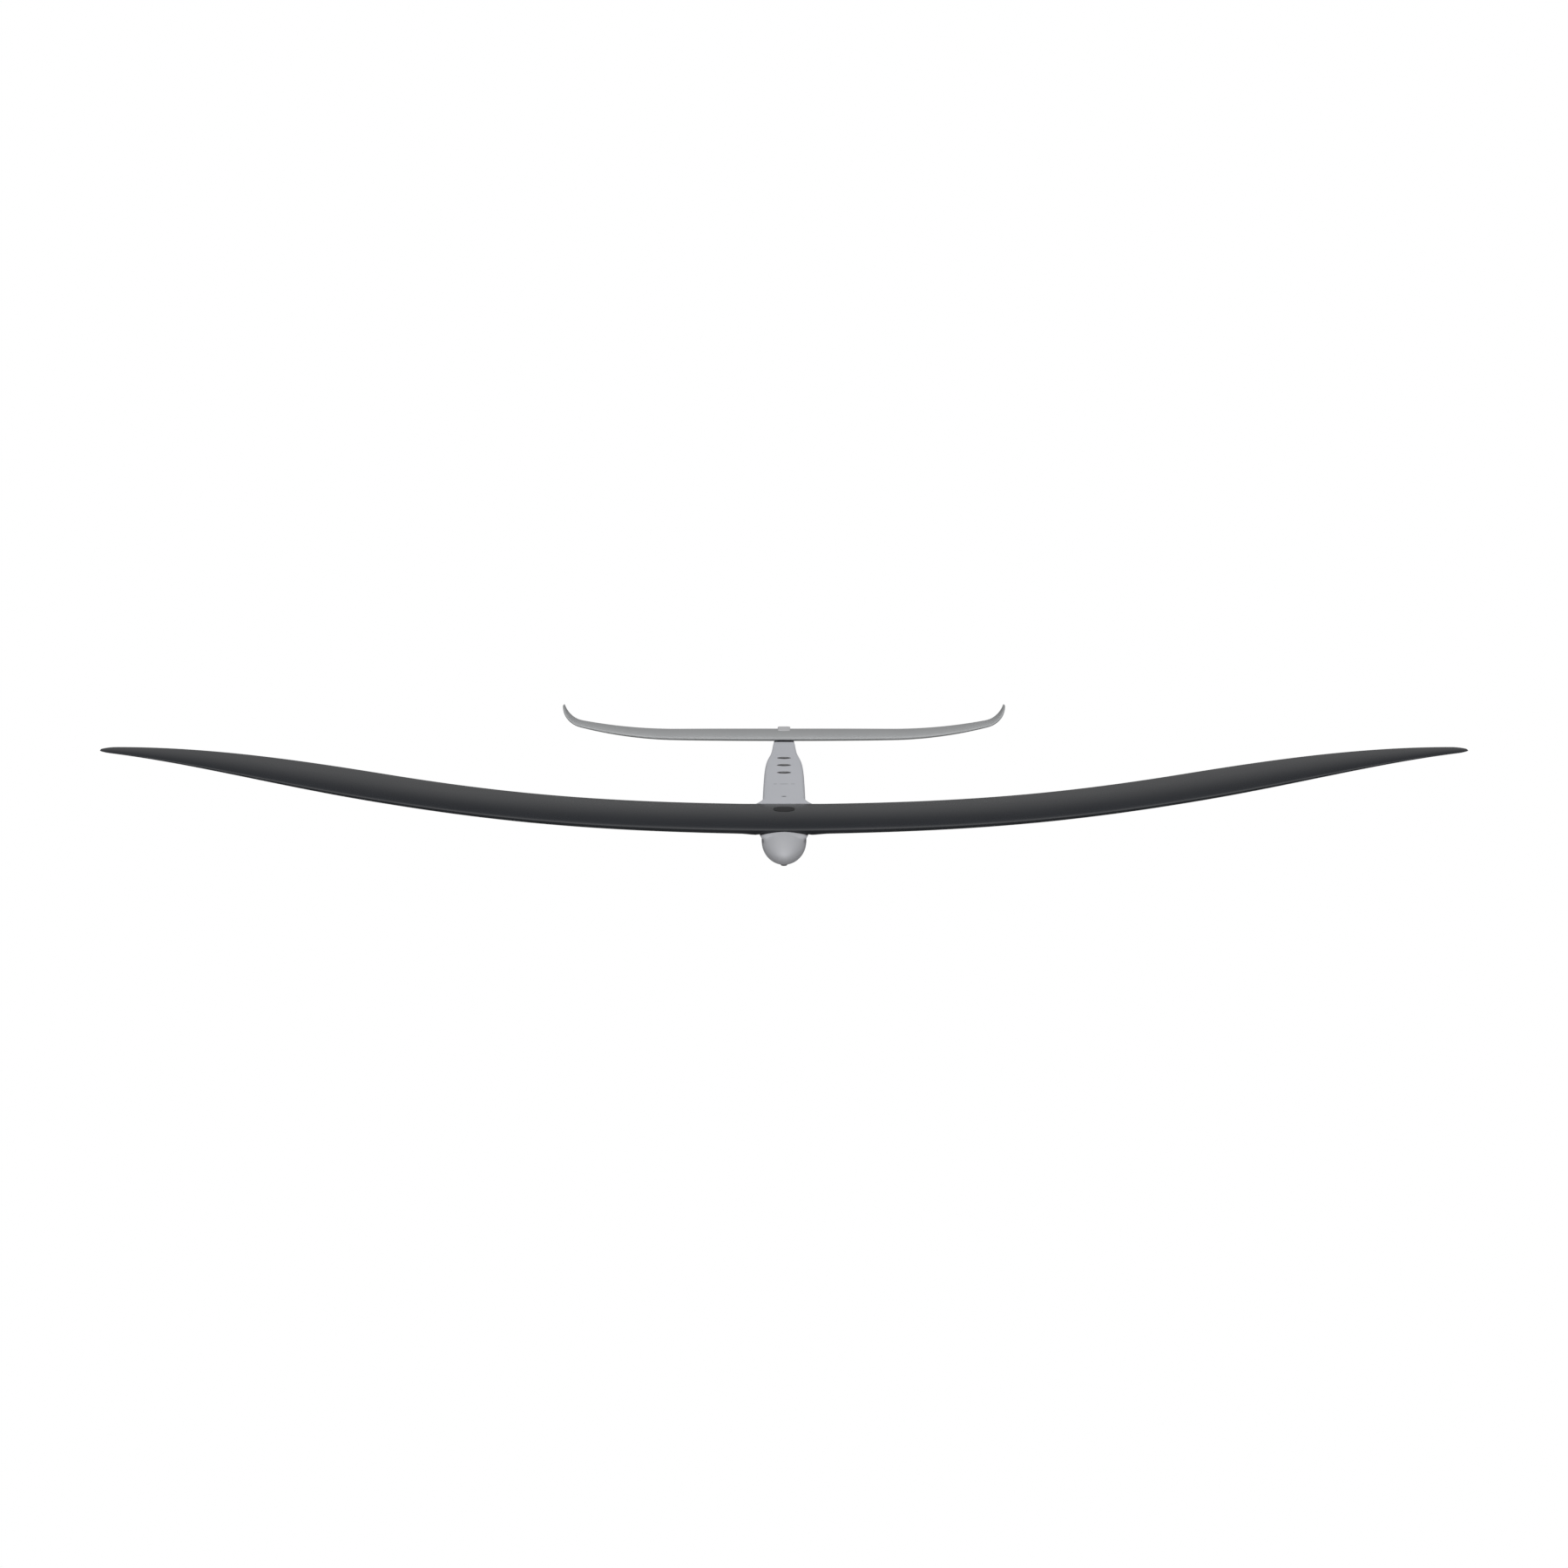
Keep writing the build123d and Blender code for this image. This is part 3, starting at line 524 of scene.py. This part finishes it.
def wing_skin(side):
    """The upper or the lower skin, which thins towards the tips."""
    rings = []
    for share in wing_stations():
        skin = root_skin - skin_loss * abs(share)
        outer = [wing_point(share, a, side) for a in chord_places]
        inner = [wing_point(share, a, side, skin) for a in reversed(chord_places[1::2])]
        rings.append(outer + inner)
    return ring_shell(rings)


insert_radius = 6.0
insert_nodes = ["wing_insert_front", "wing_insert_middle", "wing_insert_rear"]
insert_drill = bmesh.new()
for node in insert_nodes:
    spot = middle(node)
    rod(insert_drill, spot, insert_radius, spot.z - 20.0, spot.z + 3.6)

mesh_piece("wing_upper", wing_skin(1), WING_CARBON, "front_wing", ["wing_upper_skin"])
mesh_piece("wing_lower", cut(wing_skin(-1), insert_drill), WING_CARBON, "front_wing",
           ["wing_lower_skin"])


# ---- wing badge -----------------------------------------------------------------------
def wing_top(x, y):
    """Height of the wing's upper face near its middle."""
    share = abs(x) / half_span
    start = wing_front + sweep_line * (root_chord - wing_chord(share))
    along = (y - start) / wing_chord(share)
    return wing_point(x / half_span, along, 1)[2]


badge_squareness = 2.6
badge_field = 0.12        # height of the flat field inside its rim
badge_profile = [(0.0, -0.3), (1.0, -0.3), (1.0, 0.16), (0.985, 0.24), (0.95, 0.25), (0.9, 0.24)]
badge_profile += [(reach, badge_field) for reach in (0.885, 0.75, 0.6, 0.45, 0.3, 0.15, 0.0)]
badge = turned(badge_profile, (0.0, 0.0), 128)
badge_spot = middle("wing_badge")
badge_low, badge_high = corners("wing_badge")
badge_size = (badge_high - badge_low) / 2
for vert in badge.verts:
    reach = hypot(vert.co.x, vert.co.y)
    if reach:
        across, ahead = vert.co.x / reach, vert.co.y / reach
        reach *= (abs(across) ** badge_squareness
                  + abs(ahead) ** badge_squareness) ** (-1 / badge_squareness)
        vert.co.x = badge_size.x * reach * across
        vert.co.y = badge_spot.y + badge_size.y * reach * ahead
    else:
        vert.co.y = badge_spot.y
    vert.co.z += wing_top(vert.co.x, vert.co.y)
mesh_piece("wing_badge_oval", badge, BADGE_BLACK, "front_wing", ["wing_badge"])


# ---- fuselage -------------------------------------------------------------------------
body_half_width = 17.6
body_depth = 27.2
crown = 0.8
nose_half_width = 17.5
nose_length = 69.0
nose_overhang = 43.0
nose_wall = 3.0
shell_wall = 2.5
deck_wall = 4.0
saddle_wall = 3.0
seat_gap = 0.3
flare_half_width = 25.0   # the deck widens like this where the wing's trailing edge meets it
flare_length = 34.0
flare_power = 1.8
flare_lead = 30.0
flare_depth = 6.0
flare_inside = 8.0
lip_width = 7.5           # the thin edge under the wing's leading edge
lip_foot = -10.0
lip_depth = 6.5
lip_start = 7.0
lip_growth = 9.0
lip_kept = 4.0
lip_fade = 22.0
lip_inside = 14.0
crown_loss = 0.107        # the nose's crown is lower than a full egg's
crown_fade = 40.0
deck_flatness = 0.12      # millimetres over which the deck turns flat
deck_reach = 7.0
joint_y = wing_front + 10.0
nose_middle = wing_front - nose_overhang + nose_length
nose_half_depth = (body_depth + crown) / 2
nose_axis = crown - nose_half_depth
nose_share = sqrt(1 - ((joint_y - nose_middle) / nose_length) ** 2)
mast_to_stab = 133.7
tail_end = corners("fuselage_shell")[1].y
neck_depth = 0.86 * body_depth
tail_depth = 13.0
deck_top = 0.4
body_points = 112

# place along, half width, top, bottom, squareness of the upper half (2 is round)
body_stations = [
    (joint_y, nose_half_width * nose_share, nose_axis + nose_half_depth * nose_share,
     nose_axis - nose_half_depth * nose_share, 2.0),
    (nose_middle, nose_half_width, crown, -body_depth, 2.0),
    ((nose_middle + wing_rear) / 2, body_half_width, deck_top, -body_depth, 4.0),
    (wing_rear - 12.0, body_half_width, deck_top, -body_depth, 9.0),
    ((wing_rear - 40.0) / 2, body_half_width, deck_top, -body_depth, 9.0),
    (-40.0, 17.2, deck_top, -body_depth, 9.0),
    (0.0, 16.6, deck_top, -body_depth + 0.3, 9.0),
    (30.0, 15.4, deck_top, -body_depth + 1.2, 9.0),
    (76.0, 11.8, deck_top, -neck_depth, 9.0),
    (mast_to_stab, 9.8, deck_top, -(neck_depth + tail_depth) / 2, 9.0),
    (tail_end, 6.6, deck_top, -tail_depth, 9.0),
]


def body_values(y):
    """Width, top, bottom and squareness at a place along, on smooth curves through the stations."""
    rows = body_stations
    i = max(0, min(len(rows) - 2, sum(row[0] <= y for row in rows) - 1))
    gap = rows[i + 1][0] - rows[i][0]
    t = min(max((y - rows[i][0]) / gap, 0.0), 1.0)

    def slope(k, n):
        before, after = max(k - 1, 0), min(k + 1, len(rows) - 1)
        return (rows[after][n] - rows[before][n]) / (rows[after][0] - rows[before][0])

    values = []
    for n in range(1, 5):
        start, end = rows[i][n], rows[i + 1][n]
        rise = end - start
        values.append(start + rise * t * t * (3 - 2 * t)
                      + gap * slope(i, n) * t * (1 - t) ** 2
                      - gap * slope(i + 1, n) * t * t * (1 - t))
    return values


def lip(x, y, z):
    """The thin edge at the front that follows the wing's lower face outwards."""
    reach = lip_width * smooth((y - wing_front + lip_start) / lip_growth)
    reach *= 1 - smooth((y - joint_y - lip_kept) / lip_fade)
    reach *= smooth((z - lip_foot) / lip_depth) * smooth(abs(x) / lip_inside)
    return reach if x > 0 else -reach


def body_ring(y, wall=0.0):
    """The fuselage's outline at a place along, or the outline inside its wall."""
    half_width, top, bottom, square = body_values(y)
    half_depth = (top - bottom) / 2 - wall
    centre = (top + bottom) / 2
    faded = min(max((y - wing_rear) / flare_length, 0.0), 1.0)
    flare = (flare_half_width - body_half_width) * (1 - faded) ** flare_power
    flare *= smooth((y - wing_rear + flare_lead) / flare_lead)
    crown_share = 1 - crown_loss * (1 - smooth((y - joint_y) / crown_fade))
    ring = []
    for i in range(body_points):
        angle = 2 * pi * i / body_points
        across, up = cos(angle), sin(angle)
        power = square if up > 0 else 2.0
        reach = (abs(across) ** power + abs(up) ** power) ** (-1 / power)
        x = (half_width - wall) * reach * across
        z = centre + half_depth * reach * up
        if not wall:
            if z > nose_axis:
                z = nose_axis + (z - nose_axis) * crown_share
            if z > -deck_reach:
                z = -deck_flatness * log1p(exp(min(-z / deck_flatness, 60.0)))
            spread = flare * smooth(1 + z / flare_depth) * smooth(abs(x) / flare_inside)
            x += spread if x > 0 else -spread
            x += lip(x, y, z)
        ring.append((x, y, z))
    return ring


def along_body(start, end, step):
    """Evenly spaced places from one end to the other."""
    count = round((end - start) / step)
    return [start + (end - start) * i / count for i in range(count + 1)]


def seat_cutter(gap):
    """All that lies over the wing's lower face in the middle, less a gap."""
    rim = []
    places = chord_places[::2]
    for here, ahead in zip(places, places[1:]):
        _, y, z = wing_point(0.0, here, -1)
        _, next_y, next_z = wing_point(0.0, ahead, -1)
        run = hypot(next_y - y, next_z - z)
        rim.append((y + gap * (next_z - z) / run, z - gap * (next_y - y) / run))
    rim[0] = (wing_front - gap, rim[0][1])
    rim += [(wing_rear + gap, rim[-1][1]), (wing_rear + gap, 60.0), (rim[0][0], 60.0)]
    bm = bmesh.new()
    verts = [bm.verts.new((-60.0, y, z)) for y, z in rim]
    face = bm.faces.new(verts)
    grown = bmesh.ops.extrude_face_region(bm, geom=[face])["geom"]
    bmesh.ops.translate(bm, vec=(120.0, 0.0, 0.0),
                        verts=[part for part in grown if isinstance(part, bmesh.types.BMVert)])
    return bm


wing_bolts = ["wing_bolt_front", "wing_bolt_middle", "wing_bolt_rear"]
stab_screws = ["stabilizer_screw_front", "stabilizer_screw_rear"]
mast_inserts = ["mast_insert_front", "mast_insert_middle", "mast_insert_rear"]
head_seat = -18.0
head_room = 7.0
stab_head_seat = -5.3
stab_head_room = 5.5
stab_hole = 3.4
hole_radius = insert_radius + 0.02
insert_foot = head_seat - 0.02

bores = bmesh.new()
for node in mast_inserts:
    lathe(bores, [(0.0, insert_foot), (hole_radius, insert_foot), (hole_radius, -0.35), (6.3, 0.02),
                  (6.3, 9.0), (0.0, 9.0)], middle(node))
for node in wing_bolts:
    lathe(bores, [(0.0, -40.0), (7.6, -40.0), (head_room, head_seat - 8.6), (head_room, head_seat),
                  (hole_radius, head_seat), (hole_radius, 30.0), (0.0, 30.0)], middle(node))
for node in stab_screws:
    lathe(bores, [(0.0, -40.0), (stab_head_room, -40.0), (stab_head_room, stab_head_seat),
                  (stab_hole, stab_head_seat), (stab_hole, 10.0), (0.0, 10.0)], middle(node))

shim_foot = corners("stabilizer_shim")[0].z
shim_pocket = bmesh.new()
block(shim_pocket, (-30.0, mast_to_stab, shim_foot), (30.0, tail_end + 5.0, 30.0))

mark_line = -100.0        # the row of three dashes, and the dot in front of it
mark_half_width = 0.75
mark_gap = 0.05
mark_foot = -0.42
dot_line = -162.0
dot_radius = 2.0
mark_pockets = bmesh.new()
for x, length in ((-7.5, 3.0), (0.0, 7.0), (7.5, 3.0)):
    half_length = length / 2 + mark_gap
    block(mark_pockets, (x - half_length, mark_line - mark_half_width, mark_foot),
          (x + half_length, mark_line + mark_half_width, 2.0))
rod(mark_pockets, (0.0, dot_line), dot_radius + mark_gap, mark_foot, 2.0)

room = ring_shell([body_ring(y, shell_wall) for y in along_body(joint_y - 1.0, mast_to_stab, 6.0)])
over_room = bmesh.new()
block(over_room, (-60.0, joint_y - 10.0, -deck_wall), (60.0, tail_end, 60.0))
room = cut(room, over_room, seat_cutter(seat_gap + saddle_wall))

shell = ring_shell([body_ring(y) for y in along_body(joint_y, tail_end, 2.0)])
shell = cut(shell, seat_cutter(seat_gap), room, bores, shim_pocket, mark_pockets)
mesh_piece("fuselage_body", shell, FUSELAGE_GREY, "fuselage", ["fuselage_shell"])


# ---- nose cone and its screw ----------------------------------------------------------
def nose_egg(wall, end):
    """The nose's egg shape, less a wall, cut off flat behind."""
    bm = bmesh.new()
    sizes = (nose_half_width - wall, nose_length - wall, nose_half_depth - wall)
    place = Matrix.Translation((0.0, nose_middle, nose_axis)) @ Matrix.Diagonal((*sizes, 1.0))
    bmesh.ops.create_uvsphere(bm, u_segments=144, v_segments=160, radius=1.0,
                              matrix=place @ Matrix.Rotation(pi / 2, 4, "X"))
    for vert in bm.verts:
        if vert.co.z > nose_axis:
            vert.co.z = nose_axis + (vert.co.z - nose_axis) * (1 - crown_loss)
            vert.co.x += lip(vert.co.x, vert.co.y, vert.co.z)
    parts = list(bm.verts) + list(bm.edges) + list(bm.faces)
    rim = bmesh.ops.bisect_plane(bm, geom=parts, plane_co=(0.0, end, 0.0), plane_no=(0.0, 1.0, 0.0),
                                 clear_outer=True)["geom_cut"]
    bmesh.ops.contextual_create(bm, geom=[part for part in rim if isinstance(part, bmesh.types.BMEdge)])
    return bm


screw_low, screw_high = corners("nose_screw")
screw_spot = middle("nose_screw")
screw_radius = 2.0
screw_head_radius = 2.6
screw_head_top = screw_low.z + 2.4
screw_gap = 0.2
screw_bore = turned([(0.0, -50.0), (screw_head_radius + screw_gap, -50.0),
                     (screw_head_radius + screw_gap, screw_head_top),
                     (screw_radius + screw_gap, screw_head_top),
                     (screw_radius + screw_gap, nose_axis - 5.0), (0.0, nose_axis - 5.0)], screw_spot)
nose_room = cut(nose_egg(nose_wall, joint_y + 1.0), seat_cutter(seat_gap + saddle_wall))
nose = cut(nose_egg(0.0, joint_y), seat_cutter(seat_gap), nose_room, screw_bore)
mesh_piece("nose_shell", nose, NOSE_GREY, "fuselage", ["nose_cone"])


def hex_socket(centre, radius, bottom, top):
    """The six-sided hole for a key."""
    bm = bmesh.new()
    rod(bm, centre, radius, bottom, top, 6)
    return bm


def threads(radius, depth, bottom, top, pitch):
    """Profile points of a run of thread grooves, going up."""
    points = []
    for i in range(int((top - bottom) / pitch)):
        z = bottom + i * pitch
        points += [(radius, z + 0.1 * pitch), (radius - depth, z + 0.45 * pitch),
                   (radius - depth, z + 0.55 * pitch), (radius, z + 0.9 * pitch)]
    return points


nose_screw = [(0.0, screw_low.z), (1.6, screw_low.z), (2.15, screw_low.z + 0.12),
              (2.5, screw_low.z + 0.45), (screw_head_radius, screw_low.z + 0.8),
              (screw_head_radius, screw_head_top), (screw_radius, screw_head_top)]
nose_screw += threads(screw_radius, 0.3, screw_head_top + 0.3, screw_high.z - 0.6, 0.7)
nose_screw += [(screw_radius, screw_high.z - 0.5), (1.6, screw_high.z), (0.0, screw_high.z)]
mesh_piece("nose_cap_screw", cut(turned(nose_screw, screw_spot, 64),
                                 hex_socket(screw_spot, 1.44, screw_low.z - 1.0, screw_low.z + 1.4)),
           STAINLESS, "fuselage", ["nose_screw"])


# ---- bolts, washers and inserts -------------------------------------------------------
knurls = 96
knurl_depth = 0.16


def cap_bolt(node, head_radius, head_height, radius, pitch, hex_radius, hex_depth):
    """A socket head cap screw, head down, with a knurled head."""
    low, high = corners(node)
    spot = middle(node)
    top = low.z + head_height
    profile = [(0.0, low.z), (head_radius - 0.7, low.z), (head_radius - 0.25, low.z + 0.18),
               (head_radius, low.z + 0.7), (head_radius, low.z + 0.9),
               (head_radius, low.z + 1.0), (head_radius, top - 0.9), (head_radius, top - 0.8),
               (head_radius, top - 0.2), (head_radius - 0.2, top), (radius, top)]
    profile += threads(radius, 0.09 * radius + 0.12, top + 1.0, high.z - 0.8, pitch)
    profile += [(radius, high.z - 0.7), (radius - 0.6, high.z), (0.0, high.z)]
    bm = turned(profile, spot, knurls)
    for vert in bm.verts:
        side = vert.co - Vector((spot.x, spot.y, vert.co.z))
        turn = round(atan2(side.y, side.x) / (2 * pi) * knurls)
        if turn % 2 and low.z + 0.95 < vert.co.z < top - 0.85:
            vert.co -= side * (knurl_depth / head_radius)
    return cut(bm, hex_socket(spot, hex_radius, low.z - 1.0, low.z + hex_depth))


bolt_radius = 4.0
bolt_pitch = 1.25
washer_bore = 4.05
washer_radius = 6.8
washer_chamfer = 0.15

for node in wing_bolts:
    mesh_piece(node + "_cap_screw", cap_bolt(node, 6.5, 8.0, bolt_radius, bolt_pitch, 3.46, 4.0),
               STAINLESS, node, [node])
    washer = node.replace("bolt", "bolt_washer")
    low, high = corners(washer)
    flat = washer_radius - washer_chamfer
    ring = turned([(washer_bore, low.z), (flat, low.z), (washer_radius, low.z + washer_chamfer),
                   (washer_radius, high.z - washer_chamfer), (flat, high.z), (washer_bore, high.z)],
                  middle(washer))
    mesh_piece(washer + "_ring", ring, STAINLESS, node, [washer])

for node in stab_screws:
    mesh_piece(node + "_cap_screw", cap_bolt(node, 5.0, 5.0, 3.0, 1.0, 2.31, 2.5), STAINLESS, node,
               [node])

for node in mast_inserts:
    low, high = corners(node)
    thread = threads(bolt_radius, 0.5, low.z, high.z - 1.0, bolt_pitch)
    bore = [(2 * bolt_radius - radius, z) for radius, z in reversed(thread)]
    profile = [(insert_radius, low.z), (insert_radius, high.z - 0.25), (5.85, high.z - 0.02),
               (4.75, high.z - 0.02), (bolt_radius, high.z - 0.7)] + bore + [(bolt_radius, low.z)]
    mesh_piece(node + "_bush", turned(profile, middle(node)), INSERT_STEEL, "fuselage",
               [node])


# ---- stabilizer -----------------------------------------------------------------------
stab_chord = 64.0
stab_tip_chord = 0.39
stab_chord_power = 2.6
stab_thickness = 0.105
stab_length = 216.0
flat_length = 100.0
rise_radius = 435.0
curl_start = 189.0
curl_radius = 20.6
stab_sweep = 8.0
stab_line = 2.5
stab_edge_half = 0.25
stab_round_start = 0.93
stab_end = 0.99
pad_half_width = 9.5


def blade_place(along):
    """Where the blade's middle line is, and its slope, at a length from the middle."""
    x, z, slope = min(along, flat_length), 0.0, 0.0
    if along > flat_length:
        slope = (min(along, curl_start) - flat_length) / rise_radius
        x += rise_radius * sin(slope)
        z += rise_radius * (1 - cos(slope))
    if along > curl_start:
        turn = (along - curl_start) / curl_radius
        x += curl_radius * (sin(slope + turn) - sin(slope))
        z += curl_radius * (cos(slope) - cos(slope + turn))
        slope += turn
    return x, z, slope


def blade_ring(along, side):
    """The stabilizer's section at a length from the middle."""
    x, z, slope = blade_place(along)
    share = along / stab_length
    chord = stab_chord * (1 - (1 - stab_tip_chord) * share ** stab_chord_power)
    if share > stab_round_start:
        over = (share - stab_round_start) / (1 - stab_round_start)
        chord *= sqrt(1 - over ** 2)
    centre = mast_to_stab + stab_chord / 2 + stab_sweep * share ** 2
    ring = []
    for face, places in ((1, chord_places), (-1, chord_places[:0:-1])):
        for a in places:
            height = face * (half_height(a, stab_thickness) * chord + stab_edge_half * a)
            ring.append((side * (x - height * sin(slope)), centre + (a - 0.5) * chord,
                         stab_line + z + height * cos(slope)))
    return ring


def blade_shell():
    """The stabilizer's blade from tip to tip."""
    lengths = [stab_length * stab_end * sin(pi / 2 * i / 64) for i in range(65)]
    rings = [blade_ring(along, -1) for along in reversed(lengths[1:])]
    return ring_shell(rings + [blade_ring(along, 1) for along in lengths])


stab_insert_room = 4.52
stab_insert_top = 4.02

pad_room = bmesh.new()
block(pad_room, (-pad_half_width, mast_to_stab - 20.0, -40.0), (pad_half_width, tail_end + 20.0, 0.0))
insert_room = bmesh.new()
for node in stab_screws:
    rod(insert_room, middle(node), stab_insert_room, -1.0, stab_insert_top)
mesh_piece("stabilizer_wing", cut(blade_shell(), pad_room, insert_room), STABILIZER_GREY, "stabilizer",
           ["stabilizer_blade"])

cap_low, cap_high = corners("tail_cap")
cap_middle = (cap_low + cap_high) / 2
cap_half_length = cap_high.y - cap_middle.y
cap_corner = 2.2
cap_foot = stab_line - 1.0
cap_height = 4.7
cap_slope = 1.2
cap_crown = 0.15


def cap_ring(inset, share):
    """The tail cap's rounded outline, at a share of its height."""
    ring = []
    for i in range(48):
        angle = 2 * pi * i / 48
        side, end = (1 if cos(angle) > 0 else -1), (1 if sin(angle) > 0 else -1)
        x = (cap_corner - inset) * cos(angle) + side * (cap_high.x - cap_corner)
        y = (cap_corner - inset) * sin(angle) + end * (cap_half_length - cap_corner)
        top = cap_height + cap_slope * (0.5 - y / (cap_high.y - cap_low.y))
        z = cap_foot + (top - cap_foot) * share - cap_crown * (x / cap_high.x) ** 2
        ring.append((x, y + cap_middle.y, z))
    return ring


tail_block = ring_shell([cap_ring(0.0, 0.0), cap_ring(0.0, 0.5), cap_ring(0.0, 0.8), cap_ring(0.1, 0.9),
                         cap_ring(0.3, 0.97), cap_ring(0.8, 1.0), cap_ring(1.5, 1.0), cap_ring(2.1, 1.0)])
mesh_piece("tail_block", cut(tail_block, blade_shell()), CAP_GREY, "stabilizer", ["tail_cap"])


# ---- inner pieces that keep their drawn shapes ----------------------------------------
kept_pieces = {
    WING_FOAM: ["wing_front_core_left", "wing_front_core_right", "wing_rear_core_left",
                "wing_rear_core_right"],
    SPAR_CARBON: ["wing_spar_left", "wing_spar_right"],
    ROOT_LAMINATE: ["wing_root_block"],
    FUSELAGE_FILLER: ["fuselage_core"],
    SPIGOT_METAL: ["nose_spigot", "wing_bolt_sleeve_front", "wing_bolt_sleeve_middle",
                   "wing_bolt_sleeve_rear"],
    INSERT_BRASS: ["nose_insert"],
    STAINLESS: insert_nodes + ["stabilizer_insert_front", "stabilizer_insert_rear"],
    SHIM_BLACK: ["stabilizer_shim"],
    MARK_GREY: ["deck_marks"],
}
for finish, nodes in kept_pieces.items():
    for node in nodes:
        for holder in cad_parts[node].material_slots:
            holder.material = finish


# ---- stage and light ------------------------------------------------------------------
scene = bpy.context.scene
scene.view_settings.view_transform = "Standard"

world = bpy.data.worlds.new("studio")
scene.world = world
world.use_nodes = True
sky = Shader(world.node_tree)
across, ahead, up = sky.axes(sky.node("ShaderNodeTexCoord").outputs["Generated"])
level = 0.5 * up + 0.5
behind = sky.ramp(level, (0.0, 0.06), (0.44, 0.09), (0.5, 0.18), (0.56, 0.2), (0.68, 0.19),
                  (0.8, 0.1), (1.0, 0.05))
before = sky.ramp(level, (0.0, 0.03), (0.5, 0.02), (0.57, 0.05), (0.66, 1.3), (0.9, 1.3), (1.0, 0.2))
rearward = sky.node("ShaderNodeMapRange", None, {"Value": ahead, "From Min": -0.15, "From Max": 0.15})
aside = sky.node("ShaderNodeMapRange", None, {
    "Value": across.maximum(0 - across), "From Min": 0.12, "From Max": 0.6, "To Max": 0.75,
})
room_light = sky.node("ShaderNodeBackground", None, {
    "Color": sky.mix(rearward.outputs[0], before, sky.mix(aside.outputs[0], behind, (0.1, 0.1, 0.105))),
})
white = sky.node("ShaderNodeBackground", None, {"Color": (1.0, 1.0, 1.0, 1.0)})
chooser = sky.node("ShaderNodeMixShader", None, {
    0: sky.node("ShaderNodeLightPath").outputs["Is Camera Ray"],
    1: room_light.outputs[0], 2: white.outputs[0],
})
sky.feed(sky.tree.nodes["World Output"].inputs["Surface"], chooser.outputs[0])


def softbox(name, place, aim, width, height, radiance):
    """A wide soft lamp that lights the pieces and shows in no reflection."""
    light = bpy.data.lights.new(name, "AREA")
    light.shape = "RECTANGLE"
    light.size = width
    light.size_y = height
    light.energy = radiance * pi * width * height
    made = bpy.data.objects.new(name, light)
    made.location = place
    made.rotation_euler = (Vector(aim) - Vector(place)).to_track_quat("-Z", "Y").to_euler()
    made.visible_glossy = False
    made.visible_camera = False
    scene.collection.objects.link(made)


origin = (0.0, 0.0, 0.0)
softbox("overhead", (0.0, -0.3, 2.2), origin, 3.6, 2.6, 1.75)
softbox("front_fill", (0.0, -3.2, 0.7), origin, 3.6, 0.8, 0.95)
softbox("left_fill", (-2.4, -0.8, 0.8), origin, 2.0, 1.6, 1.2)
softbox("right_fill", (2.4, -0.8, 0.8), origin, 2.0, 1.6, 1.2)
softbox("floor_bounce", (0.0, -0.9, -0.55), (0.0, -0.2, 0.0), 3.0, 1.2, 1.3)

floor_height = -4.0
floor_mesh = bmesh.new()
bmesh.ops.create_grid(floor_mesh, x_segments=1, y_segments=1, size=30.0)
floor_data = bpy.data.meshes.new("floor")
floor_mesh.to_mesh(floor_data)
floor_mesh.free()
floor = bpy.data.objects.new("floor", floor_data)
floor_data.transform(Matrix.Translation((0.0, 0.0, floor_height)))
floor.visible_diffuse = False
floor.visible_glossy = False
scene.collection.objects.link(floor)
floor_finish = Finish("floor_white", Roughness=0.9, Specular_IOR_Level=0.0)
floor_finish.surface.inputs["Base Color"].default_value = (0.0, 0.0, 0.0, 1.0)
floor_finish.surface.inputs["Emission Color"].default_value = (1.0, 1.0, 1.0, 1.0)
floor_finish.surface.inputs["Emission Strength"].default_value = 1.0
floor_data.materials.append(floor_finish.material)
